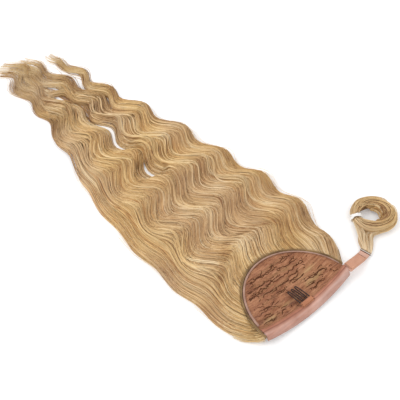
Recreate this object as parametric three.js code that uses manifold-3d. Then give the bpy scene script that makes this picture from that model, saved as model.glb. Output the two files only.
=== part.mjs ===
// A wrap-around ponytail hairpiece of long waved hair, lying on a table with the inside of its cap up.
// Millimetres, +Z up. The origin lies on the table under the cap's middle, +Y runs from the cap to the hair's
// tips, and +X runs along the cap's front edge to the wrap strap and its coiled lock. The functions below count
// y from the cap's front edge, and each finished piece is moved back by half of the cap's depth.
import * as THREE from "three";
import { mergeVertices } from "three/addons/utils/BufferGeometryUtils.js";
import Module from "manifold-3d";

const wasm = await Module();
wasm.setup();

// Clearance between pieces that are sewn or pressed together
const SEAM_GAP = 0.3;

// Cap: a shallow dish of weft rows, straight across the front and domed behind
const CAP_WIDTH = 121;
const CAP_DEPTH = 66;
const CAP_SKEW = 0.06;
const CAP_WALL = 2;
const CAP_FRONT_BOW = 5;
const CAP_FRONT_HEIGHT = 8.5;
const CAP_CORNER_LIFT = 5;
const CAP_DOME_LIFT = 5.5;
const CAP_DISH = 4.5;
const WEFT_PITCH = 8;
const WEFT_RIB = 0.8;

// Trim round the cap
const BINDING_WIDTH = 4.2;
const BINDING_HEIGHT = 4.4;
const BINDING_TAIL = 5;
const BINDING_END = 85;
const RIM_TAPE_WIDTH = 2.8;
const RIM_TAPE_THICKNESS = 1;
const RIM_TAPE_END = 82.5;
const BAND_THICKNESS = 1.8;
const BAND_HEM = 4;
const BAND_REACH = 7;
const BAND_DROP = 6;

// Wire comb and the tab that holds it
const COMB_LOOPS = 3;
const COMB_LOOP_PITCH = 5;
const COMB_REACH = 23;
const COMB_LEAN = 0.12;
const COMB_WIRE = 1.3;
const COMB_SPINE = 1.8;
const TAB_WIDTH = 17;
const TAB_LENGTH = 7.5;
const TAB_THICKNESS = 1;

// Wrap strap, its hook patch and the weft that holds the lock
const STRAP_LENGTH = 36;
const STRAP_WIDTH = 12;
const STRAP_THICKNESS = 1.6;
const STRAP_END_HEIGHT = 2.5;
const STRAP_SWAY = 5;
const PATCH_START = 1.5;
const PATCH_LENGTH = 27;
const PATCH_WIDTH = 11;
const PATCH_THICKNESS = 1.2;
const LOCK_WEFT_WIDTH = 13;
const LOCK_WEFT_DEPTH = 2.6;

// Wrap lock: a neck of hair that leads into a coil of two turns, held by a tie
const NECK_LENGTH = 25;
const NECK_HEADING = 40;
const COIL_RADIUS = 19.5;
const COIL_SET_OFF = 24;
const COIL_HEADING = 27;
const COIL_TURN_WIDTH = 15;
const COIL_TURN_HEIGHT = 9.5;
const TIE_ANGLE = 140;
const TIE_PULL = 65;
const TIE_PINCH = 0.55;
const TIE_INSIDE_WIDTH = 12.9;
const TIE_INSIDE_HEIGHT = 10.1;
const TIE_WIRE = 1.5;
const TIE_BREADTH = 2.4;

// Hair fall
const HAIR_LENGTH = 515;
const HAIR_SPREAD = 95;
const HAIR_LOFT = 21;
const HAIR_EDGE = 2.2;
const HAIR_SHOULDER = 6;
const ROOT_BLEND = 22;
const ROOT_LOFT = 0.7;
const ROOT_RISE = 33;
const WAVE_ONSET = 60;
const WAVE_AMPLITUDE = 5.8;
const WAVE_LENGTH_AT_CAP = 72;
const WAVE_LENGTH_AT_TIPS = 46;
const FIRST_CREST = 86;
const CREST_TILT = 0.1;
const WAVE_HEAVE = 0.07;
const LOCK_GROOVE = 0.16;
const SLIT_START = 0.4;
const SLIT_OPENING = 0.1;
const SLIT_EDGE = 0.4;
const TRESS_END = 0.8;
const TRESS_TAPER = 0.12;
const LOCK_TIP_WIDTH = 0.2;
const LOCK_ROOT_LOFT = 0.9;
const LOCK_TIP_LOFT = 0.3;
const FALL_STEP = 10;

const capHalf = CAP_WIDTH / 2;

// The hair's outline down its length: shares of HAIR_LENGTH, of HAIR_SPREAD for both sides, and of HAIR_LOFT
const FALL = [
  { at: 0.0, left: 0.8, right: 0.75, loft: 0.78 },
  { at: 0.06, left: 0.86, right: 0.84, loft: 0.9 },
  { at: 0.13, left: 0.89, right: 0.95, loft: 0.97 },
  { at: 0.2, left: 0.91, right: 1.0, loft: 1.0 },
  { at: 0.3, left: 0.91, right: 0.98, loft: 0.95 },
  { at: 0.4, left: 0.89, right: 0.9, loft: 0.88 },
  { at: 0.5, left: 0.82, right: 0.82, loft: 0.8 },
  { at: 0.6, left: 0.69, right: 0.74, loft: 0.7 },
  { at: 0.7, left: 0.56, right: 0.61, loft: 0.6 },
  { at: 0.8, left: 0.47, right: 0.52, loft: 0.5 },
  { at: 0.9, left: 0.42, right: 0.46, loft: 0.36 },
  { at: 1.0, left: 0.27, right: 0.3, loft: 0.2 },
];

// Broad tresses, whose hair stays together from the roots: the edges of the locks in it across the outline,
// and how far its edge at the slit between the two draws away
const TRESSES = [
  { edges: [-1, -0.8, -0.62, -0.42, -0.24, -0.02], slitAt: "right", draw: -0.06 },
  { edges: [-0.1, 0.12, 0.3, 0.5, 0.68, 0.84, 1], slitAt: "left", draw: 0.13 },
];

// Locks that part from the tresses towards the tips: where each one starts and ends down the length,
// its middle across the outline at both ends, and its width and height as shares of spread and loft
const TIP_LOCKS = [
  { from: 0.7, to: 0.935, mid: -0.78, tip: -1.0, width: 0.1, loft: 0.55 },
  { from: 0.7, to: 1.0, mid: -0.55, tip: -0.9, width: 0.13, loft: 0.6 },
  { from: 0.7, to: 0.985, mid: -0.28, tip: -0.4, width: 0.12, loft: 0.55 },
  { from: 0.72, to: 0.96, mid: 0.2, tip: -0.1, width: 0.12, loft: 0.6 },
  { from: 0.7, to: 0.92, mid: 0.46, tip: 0.4, width: 0.12, loft: 0.55 },
  { from: 0.7, to: 0.965, mid: 0.78, tip: 0.92, width: 0.11, loft: 0.5 },
];

// A tip lock's section: shares of its half width and of its height
const LOCK_SECTION = [
  { side: -1, rise: 0.35 },
  { side: -0.6, rise: 0.85 },
  { side: 0, rise: 1 },
  { side: 0.6, rise: 0.85 },
  { side: 1, rise: 0.35 },
];

// The neck's sections: share of its length, and width and height as shares of a coil turn's
const NECK = [
  { at: 0.0, width: 0.78, height: 0.28 },
  { at: 0.2, width: 0.95, height: 0.48 },
  { at: 0.45, width: 1.15, height: 0.72 },
  { at: 0.75, width: 1.35, height: 0.9 },
  { at: 1.0, width: 1.3, height: 0.95 },
  { at: 1.3, width: 1.0, height: 0.8 },
];

// The coil's turns: how far each lies outside the coil's radius, its level and its size, as shares of a turn's
const COIL_TURNS = [
  { out: 0.06, level: 0.5, width: 1.12, height: 1 },
  { out: -0.05, level: 1.15, width: 1, height: 0.9 },
];

// One loop of the comb: side, share of its reach, and share of its half width
const COMB_LOOP = [
  { side: -1, along: 0, spread: 1 },
  { side: -1, along: 0.6, spread: 0.75 },
  { side: -1, along: 0.92, spread: 0.55 },
  { side: 0, along: 1, spread: 0 },
  { side: 1, along: 0.92, spread: 0.55 },
  { side: 1, along: 0.6, spread: 0.75 },
  { side: 1, along: 0, spread: 1 },
];

// Materials, in the finish of each piece
const finish = (color, roughness) => new THREE.MeshStandardMaterial({ color, roughness, metalness: 0 });
const hairFinish = finish(0xc9a26b, 0.45);
const netFinish = finish(0xa86e52, 0.85);
const oliveFinish = finish(0x7d6238, 0.7);
const pinkTape = finish(0xd29c84, 0.6);
const hookTape = finish(0xcf8f76, 0.8);
const combFinish = finish(0x3a2320, 0.35);
const tieFinish = finish(0xeee8e2, 0.4);

// Small tools

const mix = (a, b, share) => a + (b - a) * share;
const clamp01 = (value) => Math.min(1, Math.max(0, value));
const ease = (share) => clamp01(share) ** 2 * (3 - 2 * clamp01(share));

// A column of a table whose rows are placed by their own "at" column, read between two rows
function read(table, column, at) {
  const next = Math.max(1, table.findIndex((row) => row.at >= Math.min(at, 1)));
  const [low, high] = [table[next - 1], table[next]];
  return mix(low[column], high[column], (at - low.at) / (high.at - low.at));
}

// A closed skin over a grid: rows x columns of points on top, the same grid below, and walls round the edge
function slab(rows, columns, top, bottom) {
  const points = [];
  for (const side of [top, bottom])
    for (let i = 0; i < rows; i++)
      for (let j = 0; j < columns; j++) points.push(...side(i, j));
  const upper = (i, j) => i * columns + j;
  const lower = (i, j) => rows * columns + upper(i, j);
  const faces = [];
  const apart = (a, b) => Math.hypot(...[0, 1, 2].map((axis) => points[3 * a + axis] - points[3 * b + axis]));
  const quad = (a, b, c, d) =>
    faces.push(...(apart(a, c) <= apart(b, d) ? [a, b, c, a, c, d] : [b, c, d, b, d, a]));
  for (let i = 0; i + 1 < rows; i++) {
    for (let j = 0; j + 1 < columns; j++) {
      quad(upper(i, j), upper(i, j + 1), upper(i + 1, j + 1), upper(i + 1, j));
      quad(lower(i, j), lower(i + 1, j), lower(i + 1, j + 1), lower(i, j + 1));
    }
    quad(upper(i, 0), upper(i + 1, 0), lower(i + 1, 0), lower(i, 0));
    quad(upper(i + 1, columns - 1), upper(i, columns - 1), lower(i, columns - 1), lower(i + 1, columns - 1));
  }
  for (let j = 0; j + 1 < columns; j++) {
    quad(upper(0, j + 1), upper(0, j), lower(0, j), lower(0, j + 1));
    quad(upper(rows - 1, j), upper(rows - 1, j + 1), lower(rows - 1, j + 1), lower(rows - 1, j));
  }
  const geometry = new THREE.BufferGeometry();
  geometry.setAttribute("position", new THREE.Float32BufferAttribute(points, 3));
  geometry.setIndex(faces);
  return geometry;
}

// A solid for cutting and joining, made from a closed geometry
function solidOf(geometry) {
  const bare = geometry.clone();
  bare.deleteAttribute("normal");
  bare.deleteAttribute("uv");
  const merged = mergeVertices(bare, 1e-4);
  return new wasm.Manifold(new wasm.Mesh({
    numProp: 3,
    vertProperties: merged.getAttribute("position").array,
    triVerts: new Uint32Array(merged.index.array),
  }));
}

function geometryOf(solid) {
  const { vertProperties, triVerts, numProp } = solid.getMesh();
  const points = [];
  for (let k = 0; k < vertProperties.length; k += numProp) points.push(...vertProperties.slice(k, k + 3));
  const geometry = new THREE.BufferGeometry();
  geometry.setAttribute("position", new THREE.Float32BufferAttribute(points, 3));
  geometry.setIndex([...triVerts]);
  return geometry;
}

const join = (geometries) => geometries.map(solidOf).reduce((whole, next) => whole.add(next));

function piece(name, geometry, material) {
  const mesh = new THREE.Mesh(geometry.translate(0, -CAP_DEPTH / 2, 0), material);
  mesh.name = name;
  return mesh;
}

// An ellipse as an outline for a tube
const ovalShape = (width, height, points) =>
  new THREE.Shape(
    Array.from({ length: points }, (_, k) => {
      const turn = (2 * Math.PI * k) / points;
      return new THREE.Vector2((height / 2) * Math.cos(turn), (width / 2) * Math.sin(turn));
    }),
  );

const tube = (shape, path, steps) => new THREE.ExtrudeGeometry(shape, { steps, extrudePath: path });

// Cap

// How deep inside the cap's outline a spot lies: none at its edges
const insideCap = (across, back) =>
  Math.max(0, 1 - across ** 2 - back ** 2) * Math.max(0, 4 * back * (1 - back));

// Level of the cap's upper face over any spot of the plan, without its weft rows
function capLevel(x, y) {
  const across = x / capHalf;
  const back = y / CAP_DEPTH;
  const rim = CAP_FRONT_HEIGHT + CAP_CORNER_LIFT * across ** 2 * (1 - back) + CAP_DOME_LIFT * Math.max(back, 0);
  return rim - (CAP_DISH * insideCap(across, back)) / insideCap(0, 0.5);
}

// How far the rows near the front bow forward, at a spot across and a row's share of the depth
const frontBow = (across, back) => CAP_FRONT_BOW * (1 - across ** 2) * (1 - back) ** 2;

// A spot of the cap's plan, widened all round by grow
function capSpot(across, back, grow = 0) {
  const half = (capHalf + grow) * Math.sqrt(1 - back ** 2);
  const lean = 1 - CAP_SKEW * across * Math.sqrt(1 - back ** 2);
  return [across * half, back * (CAP_DEPTH + grow) * lean - frontBow(across, back)];
}

// Rows of the cap's grid: a crest and a groove for each weft, then a few that close the dome
function capRows() {
  const halfPitch = WEFT_PITCH / 2;
  const count = Math.floor((CAP_DEPTH - halfPitch) / halfPitch);
  const rows = Array.from({ length: count + 1 }, (_, k) => (k * halfPitch) / CAP_DEPTH);
  const left = 1 - rows[count];
  return [...rows, ...[0.5, 0.8, 0.965].map((share) => rows[count] + left * share)];
}

const CAP_COLUMNS = 17;
const columnShare = (j) => (2 * j) / (CAP_COLUMNS - 1) - 1;

function weftCap() {
  const rows = capRows();
  const rib = (i, across) => {
    const inside = clamp01(((1 - rows[i]) * CAP_DEPTH) / (2 * WEFT_PITCH)) * clamp01((1 - Math.abs(across)) * 5);
    return i % 2 ? WEFT_RIB * inside : 0;
  };
  const face = (lift) => (i, j) => {
    const [x, y] = capSpot(columnShare(j), rows[i]);
    return [x, y, capLevel(x, y) + lift(i, j)];
  };
  return slab(rows.length, CAP_COLUMNS,
    face((i, j) => rib(i, columnShare(j))),
    face(() => -CAP_WALL));
}

// A spot on a line that runs round the dome at a distance outside the cap's edge, from -90 to 90 degrees
function domeLine(degrees, outside, level) {
  const edgeAt = (angle) => {
    const turn = THREE.MathUtils.degToRad(angle);
    const y = CAP_DEPTH * Math.cos(turn) * (1 - CAP_SKEW * Math.sin(turn));
    return new THREE.Vector2(capHalf * Math.sin(turn), y);
  };
  const edge = edgeAt(degrees);
  const along = edgeAt(degrees + 1).sub(edgeAt(degrees - 1)).normalize();
  const spot = edge.clone().addScaledVector(new THREE.Vector2(-along.y, along.x), outside);
  return new THREE.Vector3(spot.x, spot.y, capLevel(edge.x, edge.y) + level);
}

const DOME_POINTS = 25;
const domeAngles = (from, to) =>
  Array.from({ length: DOME_POINTS }, (_, k) => mix(from, to, k / (DOME_POINTS - 1)));

const bindingOffset = BINDING_WIDTH / 2 + SEAM_GAP;
const bindingLift = BINDING_HEIGHT / 2 - CAP_WALL + SEAM_GAP;

// The rolled binding round the dome, whose near end runs on past the corner to cover the band's end
function edgeBinding() {
  const points = domeAngles(-90, BINDING_END).map((angle) => domeLine(angle, bindingOffset, bindingLift));
  const tail = points[0].clone().add(new THREE.Vector3(0, -BINDING_TAIL, 0));
  return tube(ovalShape(BINDING_WIDTH, BINDING_HEIGHT, 8), new THREE.CatmullRomCurve3([tail, ...points]), 44);
}

// A flat tape laid on the cap just inside the binding
function rimTape() {
  const inset = RIM_TAPE_WIDTH / 2 + SEAM_GAP;
  const level = RIM_TAPE_THICKNESS / 2 + SEAM_GAP + WEFT_RIB;
  const points = domeAngles(-RIM_TAPE_END, RIM_TAPE_END).map((angle) => domeLine(angle, -inset, level));
  const [up, across] = [RIM_TAPE_THICKNESS / 2, RIM_TAPE_WIDTH / 2];
  const corners = [[-up, -across], [up, -across], [up, across], [-up, across]];
  const outline = new THREE.Shape(corners.map((corner) => new THREE.Vector2(...corner)));
  return tube(outline, new THREE.CatmullRomCurve3(points), 36);
}

// Front band: a tape folded over the cap's front edge, its outer face rolling down towards the table.
// Its section is a row of spots: how far forward of the cap's edge, and how far above the cap's upper face
const bandMiddle = BAND_THICKNESS / 2;
const BAND_SECTION = [
  { forward: -BAND_HEM, rise: SEAM_GAP + WEFT_RIB + bandMiddle },
  { forward: SEAM_GAP + bandMiddle, rise: SEAM_GAP + WEFT_RIB + bandMiddle },
  { forward: mix(bandMiddle, BAND_REACH, 0.35), rise: mix(WEFT_RIB + bandMiddle, -BAND_DROP, 0.12) },
  { forward: mix(bandMiddle, BAND_REACH, 0.75), rise: mix(WEFT_RIB + bandMiddle, -BAND_DROP, 0.5) },
  { forward: BAND_REACH, rise: -BAND_DROP },
];
const BAND_STEPS = 21;

function frontBand() {
  const spot = (i, j, side) => {
    const across = (2 * i) / (BAND_STEPS - 1) - 1;
    const edge = capSpot(across, 0);
    const { forward, rise } = BAND_SECTION[j];
    const next = BAND_SECTION[Math.min(j + 1, BAND_SECTION.length - 1)];
    const last = BAND_SECTION[Math.max(j - 1, 0)];
    const along = new THREE.Vector2(next.forward - last.forward, next.rise - last.rise).normalize();
    const [outward, upward] = [-along.y * side * bandMiddle, along.x * side * bandMiddle];
    return [edge[0], edge[1] - forward - outward, capLevel(...edge) + rise + upward];
  };
  return slab(BAND_STEPS, BAND_SECTION.length, (i, j) => spot(i, j, 1), (i, j) => spot(i, j, -1));
}

// Comb

const combHalf = (COMB_LOOPS * COMB_LOOP_PITCH) / 2;
const hemTop = CAP_FRONT_HEIGHT + SEAM_GAP + WEFT_RIB + BAND_THICKNESS;
const spineY = -CAP_FRONT_BOW + BAND_HEM - COMB_SPINE / 2 - SEAM_GAP;
const spineZ = hemTop + SEAM_GAP + COMB_SPINE / 2;

// The comb leans down from its spine until its tips lie just over the cap
function combLevel(y) {
  const tipZ = capLevel(0, spineY + COMB_REACH) + WEFT_RIB + SEAM_GAP + COMB_WIRE / 2;
  return mix(spineZ, Math.max(tipZ, spineZ - COMB_REACH * COMB_LEAN), (y - spineY) / COMB_REACH);
}

function comb() {
  const wire = ovalShape(COMB_WIRE, COMB_WIRE, 6);
  const spine = new THREE.CylinderGeometry(COMB_SPINE / 2, COMB_SPINE / 2, 2 * combHalf, 8)
    .rotateZ(Math.PI / 2)
    .translate(0, spineY, spineZ);
  const loops = Array.from({ length: COMB_LOOPS }, (_, k) => {
    const middle = (k - (COMB_LOOPS - 1) / 2) * COMB_LOOP_PITCH;
    const half = (COMB_LOOP_PITCH - COMB_WIRE) / 2 - SEAM_GAP;
    const points = COMB_LOOP.map(({ side, along, spread }) => {
      const y = spineY + along * COMB_REACH;
      return new THREE.Vector3(middle + side * spread * half, y, combLevel(y));
    });
    return tube(wire, new THREE.CatmullRomCurve3(points), 16);
  });
  return geometryOf(join([spine, ...loops]));
}

// The sewn tab: a strip bent over the comb's spine, with its foot on the front band's hem
function combTab() {
  const clear = COMB_SPINE / 2 + SEAM_GAP;
  const foot = hemTop + SEAM_GAP;
  const top = spineZ + clear + TAB_THICKNESS;
  const reach = TAB_LENGTH / 2;
  const lip = spineZ + COMB_WIRE / 2 + SEAM_GAP;
  const profile = [
    [-reach, foot], [-clear - TAB_THICKNESS / 2, foot], [-clear, spineZ], [-clear * 0.6, spineZ + clear],
    [clear * 0.6, spineZ + clear], [clear, lip],
    [clear + TAB_THICKNESS, lip], [clear * 0.7, top], [-clear, top], [-reach, foot + TAB_THICKNESS],
  ];
  const outline = new THREE.Shape(profile.map(([y, z]) => new THREE.Vector2(y, z)));
  return new THREE.ExtrudeGeometry(outline, { depth: TAB_WIDTH, steps: 1, bevelEnabled: false })
    .rotateX(Math.PI / 2)
    .rotateZ(Math.PI / 2)
    .translate(-TAB_WIDTH / 2, spineY, 0);
}

// Wrap strap

const strapStartX = capHalf + SEAM_GAP;
const strapStartZ = CAP_FRONT_HEIGHT + CAP_CORNER_LIFT;
const strapEndX = strapStartX + STRAP_LENGTH;

// The strap's middle line: it leaves the cap's corner level and eases down towards the table
function strapSpot(share) {
  return new THREE.Vector3(
    mix(strapStartX, strapEndX, share),
    mix(-STRAP_WIDTH / 2 + BAND_HEM, -STRAP_WIDTH / 2 + BAND_HEM + STRAP_SWAY, Math.max(share, 0) ** 1.5),
    mix(strapStartZ, STRAP_END_HEIGHT + STRAP_THICKNESS / 2, ease(share)),
  );
}

// A flat ribbon along the strap's line, lifted off it
function ribbon(fromShare, toShare, steps, width, thickness, lift) {
  const share = (i) => mix(fromShare, toShare, i / (steps - 1));
  const spot = (level) => (i, j) => {
    const middle = strapSpot(share(i));
    const ahead = strapSpot(share(i) + 0.005).sub(strapSpot(share(i) - 0.005)).normalize();
    const side = new THREE.Vector3(ahead.y, -ahead.x, 0).normalize();
    const up = new THREE.Vector3().crossVectors(side, ahead);
    const place = middle.addScaledVector(side, (j - 0.5) * width).addScaledVector(up, lift + level * thickness / 2);
    return [place.x, place.y, place.z];
  };
  return slab(steps, 2, spot(1), spot(-1));
}

const wrapStrap = () => ribbon(0, 1, 11, STRAP_WIDTH, STRAP_THICKNESS, 0);

function hookPatch() {
  const [from, to] = [PATCH_START, PATCH_START + PATCH_LENGTH].map((along) => along / STRAP_LENGTH);
  const lift = (STRAP_THICKNESS + PATCH_THICKNESS) / 2 + SEAM_GAP;
  return ribbon(from, to, 9, PATCH_WIDTH, PATCH_THICKNESS, lift);
}

// The weft that closes the strap's end and holds the lock's roots
const strapHeading = strapSpot(1).sub(strapSpot(0.99)).setZ(0).normalize();
const lockWeftMiddle = strapSpot(1).addScaledVector(strapHeading, SEAM_GAP + LOCK_WEFT_DEPTH / 2);

function lockWeft() {
  return new THREE.CylinderGeometry(LOCK_WEFT_DEPTH / 2, LOCK_WEFT_DEPTH / 2, LOCK_WEFT_WIDTH, 8)
    .rotateZ(Math.atan2(strapHeading.y, strapHeading.x))
    .translate(lockWeftMiddle.x, lockWeftMiddle.y, lockWeftMiddle.z);
}

// Wrap lock

// A level direction, in degrees from +X
function outward(degrees) {
  const turn = THREE.MathUtils.degToRad(degrees);
  return new THREE.Vector3(Math.cos(turn), Math.sin(turn), 0);
}

const neckStart = lockWeftMiddle.clone().addScaledVector(strapHeading, LOCK_WEFT_DEPTH / 2 + SEAM_GAP);
const neckEnd = neckStart.clone().addScaledVector(outward(NECK_HEADING), NECK_LENGTH).setZ(0);
const coilCentre = neckEnd.clone().addScaledVector(outward(COIL_HEADING), COIL_SET_OFF);
const turnLevels = COIL_TURNS.map(({ level }) => level * COIL_TURN_HEIGHT);
const tieLevel = mix(...turnLevels, 0.5);

// A closed tube with oval sections, one for each row of spots
function ovalLoft(spots, sides, closed = false) {
  const ring = ({ middle, side, width, height, up = new THREE.Vector3(0, 0, 1) }) =>
    Array.from({ length: sides }, (_, k) => {
      const turn = (2 * Math.PI * k) / sides;
      return middle.clone()
        .addScaledVector(side, (width / 2) * Math.cos(turn))
        .addScaledVector(up, (height / 2) * Math.sin(turn));
    });
  const rings = spots.map(ring);
  const points = rings.flat().flatMap((p) => [p.x, p.y, p.z]);
  const faces = [];
  const at = (i, k) => (i % rings.length) * sides + (k % sides);
  const stretches = closed ? rings.length : rings.length - 1;
  for (let i = 0; i < stretches; i++)
    for (let k = 0; k < sides; k++)
      faces.push(at(i, k), at(i + 1, k), at(i + 1, k + 1), at(i, k), at(i + 1, k + 1), at(i, k + 1));
  if (!closed)
    for (let k = 1; k + 1 < sides; k++) {
      faces.push(at(0, 0), at(0, k), at(0, k + 1));
      faces.push(at(rings.length - 1, 0), at(rings.length - 1, k + 1), at(rings.length - 1, k));
    }
  const geometry = new THREE.BufferGeometry();
  geometry.setAttribute("position", new THREE.Float32BufferAttribute(points, 3));
  geometry.setIndex(faces);
  return geometry;
}

// One turn of the coil, drawn in where the tie holds it
const TURN_SECTIONS = 24;
const HAIR_SIDES = 10;

function coilTurn({ out, level, width, height }) {
  const radius = COIL_RADIUS + out * COIL_TURN_WIDTH;
  const spots = Array.from({ length: TURN_SECTIONS }, (_, k) => {
    const degrees = (360 * k) / TURN_SECTIONS;
    const side = outward(degrees);
    const fromTie = Math.abs(((degrees - TIE_ANGLE + 540) % 360) - 180);
    const drawn = 1 - ease(fromTie / TIE_PULL);
    const pinch = mix(1, TIE_PINCH, drawn);
    return {
      middle: coilCentre.clone().addScaledVector(side, radius)
        .setZ(mix(level * COIL_TURN_HEIGHT, tieLevel, drawn * (1 - TIE_PINCH))),
      side,
      width: width * COIL_TURN_WIDTH * pinch,
      height: height * COIL_TURN_HEIGHT * pinch,
    };
  });
  return ovalLoft(spots, HAIR_SIDES, true);
}

function wrapLock() {
  const side = outward(NECK_HEADING - 90);
  const rootSide = new THREE.Vector3(strapHeading.y, -strapHeading.x, 0);
  const neck = NECK.map(({ at, width, height }) => ({
    middle: neckStart.clone().lerp(neckEnd, at)
      .setZ(Math.max(mix(neckStart.z, turnLevels[0], clamp01(at)), (height * COIL_TURN_HEIGHT) / 2)),
    side: rootSide.clone().lerp(side, ease(at * 2)).normalize(),
    width: width * COIL_TURN_WIDTH,
    height: height * COIL_TURN_HEIGHT,
  }));
  return geometryOf(join([ovalLoft(neck, HAIR_SIDES), ...COIL_TURNS.map(coilTurn)]));
}

// The elastic tie round the coil's drawn-in place
function lockTie() {
  const side = outward(TIE_ANGLE);
  const clear = SEAM_GAP + TIE_WIRE / 2;
  const count = 20;
  const spots = Array.from({ length: count }, (_, k) => {
    const angle = (-2 * Math.PI * k) / count;
    const [across, rise] = [Math.cos(angle), Math.sin(angle)];
    return {
      middle: coilCentre.clone()
        .addScaledVector(side, COIL_RADIUS + (TIE_INSIDE_WIDTH / 2 + clear) * across)
        .setZ(tieLevel + (TIE_INSIDE_HEIGHT / 2 + clear) * rise),
      side: side.clone().multiplyScalar(across).setZ(rise),
      up: outward(TIE_ANGLE + 90),
      width: TIE_WIRE,
      height: TIE_BREADTH,
    };
  });
  return ovalLoft(spots, 6, true);
}

// Hair fall

// Number of waves from the first crest to a place down the length, as their length shortens to the tips
function wavesAt(y) {
  const shortening = (WAVE_LENGTH_AT_CAP - WAVE_LENGTH_AT_TIPS) / HAIR_LENGTH;
  const passed = (place) => -Math.log(1 - (shortening * place) / WAVE_LENGTH_AT_CAP) / shortening;
  return passed(y) - passed(FIRST_CREST);
}

// A place in the hair: across from -1 to 1 between the outline's sides, and how far down from the roots
function hairSpot(across, y) {
  const turn = (across * Math.PI) / 2;
  const rootY = CAP_DEPTH * Math.cos(turn) * (1 - CAP_SKEW * Math.sin(turn));
  const rootX = capHalf * Math.sin(turn);
  const side = across < 0 ? "left" : "right";
  const place = mix(rootY, HAIR_LENGTH, y);
  const far = across * HAIR_SPREAD * read(FALL, side, place / HAIR_LENGTH);
  const out = (place - rootY) / ROOT_BLEND;
  const wave = 2 * Math.PI * wavesAt(place - CREST_TILT * far);
  const waved = ease((place - rootY) / WAVE_ONSET);
  const x = mix(rootX, far, ease(out)) + WAVE_AMPLITUDE * waved * Math.cos(wave);
  const heave = 1 + WAVE_HEAVE * waved * Math.cos(wave + 1);
  const rise = mix(ROOT_LOFT, 1, ease((place - rootY) / ROOT_RISE));
  return { x, place, loft: HAIR_LOFT * read(FALL, "loft", place / HAIR_LENGTH) * heave * rise };
}

// Fall-off of the hair's height towards the outline's sides
const shoulder = (across) => Math.sqrt(Math.max(0, 1 - Math.abs(across) ** HAIR_SHOULDER));

function tress({ edges, slitAt, draw }) {
  const columns = edges.flatMap((edge, k) =>
    k ? [{ across: mix(edges[k - 1], edge, 0.5), ridge: 1 }, { across: edge, ridge: 0 }] : [{ across: edge, ridge: 0 }],
  );
  const rows = Math.round((HAIR_LENGTH * TRESS_END) / FALL_STEP);
  const middle = mix(edges[0], edges[edges.length - 1], 0.5);
  const fromSlit = (j) => (slitAt === "left" ? j : columns.length - 1 - j);
  const spot = (top) => (i, j) => {
    const y = (i / (rows - 1)) * TRESS_END;
    const full = ease((TRESS_END - y) / TRESS_TAPER);
    const parted = draw * ease((y - SLIT_START) / SLIT_OPENING) * Math.max(0, 1 - fromSlit(j) / 3);
    const across = mix(middle, columns[j].across + parted, mix(0.6, 1, full));
    const { x, place, loft } = hairSpot(across, y);
    const ridge = fromSlit(j) ? 1 - LOCK_GROOVE * (1 - columns[j].ridge) : SLIT_EDGE;
    const height = loft * shoulder(columns[j].across) * ridge * mix(LOCK_TIP_LOFT, 1, full);
    return [x, place, top ? Math.max(HAIR_EDGE, height) : -HAIR_EDGE];
  };
  return slab(rows, columns.length, spot(true), spot(false));
}

// A lock near the tips, which narrows to its end
function tipLock({ from, to, mid, tip, width, loft }) {
  const rows = Math.round(((to - from) * HAIR_LENGTH) / FALL_STEP);
  const spot = (top) => (i, j) => {
    const down = i / (rows - 1);
    const { side, rise } = LOCK_SECTION[j];
    const { x, place } = hairSpot(mix(mid, tip, ease(down)), mix(from, to, down));
    const half = width * HAIR_SPREAD * mix(1, LOCK_TIP_WIDTH, down ** 2);
    const height = HAIR_LOFT * loft * rise * mix(LOCK_ROOT_LOFT, LOCK_TIP_LOFT, down);
    return [x + side * half, place, top ? Math.max(HAIR_EDGE, height) : -HAIR_EDGE];
  };
  return slab(rows, LOCK_SECTION.length, spot(true), spot(false));
}

// The hair under the cap that carries it, out to just past the binding
const rootReach = BINDING_WIDTH + 2 * SEAM_GAP;
const DOME_ROWS = 20;
const domeShare = (i) => Math.sin((0.99 * Math.PI * i) / 2 / (DOME_ROWS - 1));

function hairBacking() {
  const spot = (top) => (i, j) => {
    const [x, y] = capSpot(columnShare(j), domeShare(i), rootReach - 1);
    return [x, Math.max(y, -CAP_FRONT_BOW / 2), top ? HAIR_LOFT : -HAIR_EDGE];
  };
  return slab(DOME_ROWS, CAP_COLUMNS, spot(true), spot(false));
}

// All that the hair leaves free: the cap, its binding and what lies on them
function capRoom() {
  const spot = (top) => (i, j) => {
    const [x, y] = capSpot(columnShare(j), domeShare(i), rootReach);
    const floor = capLevel(x, y) - CAP_WALL - 2 * SEAM_GAP;
    return [x, i ? y : y - HAIR_SPREAD, top ? HAIR_LOFT * 2 : floor];
  };
  return slab(DOME_ROWS, CAP_COLUMNS, spot(true), spot(false));
}

// The tabletop, which presses the hair's underside flat
const tabletop = () =>
  new THREE.BoxGeometry(4 * HAIR_SPREAD, 4 * HAIR_LENGTH, 2 * HAIR_LOFT).translate(0, 0, -HAIR_LOFT);

function hairFall() {
  const hair = join([hairBacking(), ...TRESSES.map(tress), ...TIP_LOCKS.map(tipLock)]);
  return geometryOf(hair.subtract(solidOf(capRoom())).subtract(solidOf(tabletop())));
}

const hairpiece = new THREE.Group();
hairpiece.add(
  piece("hair_fall", hairFall(), hairFinish),
  piece("weft_cap", weftCap(), netFinish),
  piece("rim_tape", rimTape(), pinkTape),
  piece("edge_binding", edgeBinding(), oliveFinish),
  piece("front_band", frontBand(), pinkTape),
  piece("comb", comb(), combFinish),
  piece("comb_tab", combTab(), hookTape),
  piece("wrap_strap", wrapStrap(), pinkTape),
  piece("hook_patch", hookPatch(), hookTape),
  piece("lock_weft", lockWeft(), oliveFinish),
  piece("wrap_lock", wrapLock(), hairFinish),
  piece("lock_tie", lockTie(), tieFinish),
);

export default hairpiece;
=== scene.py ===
"""A wrap-around ponytail hairpiece of long waved hair, lying on a pale floor with its cap inside up."""
import math

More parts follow.
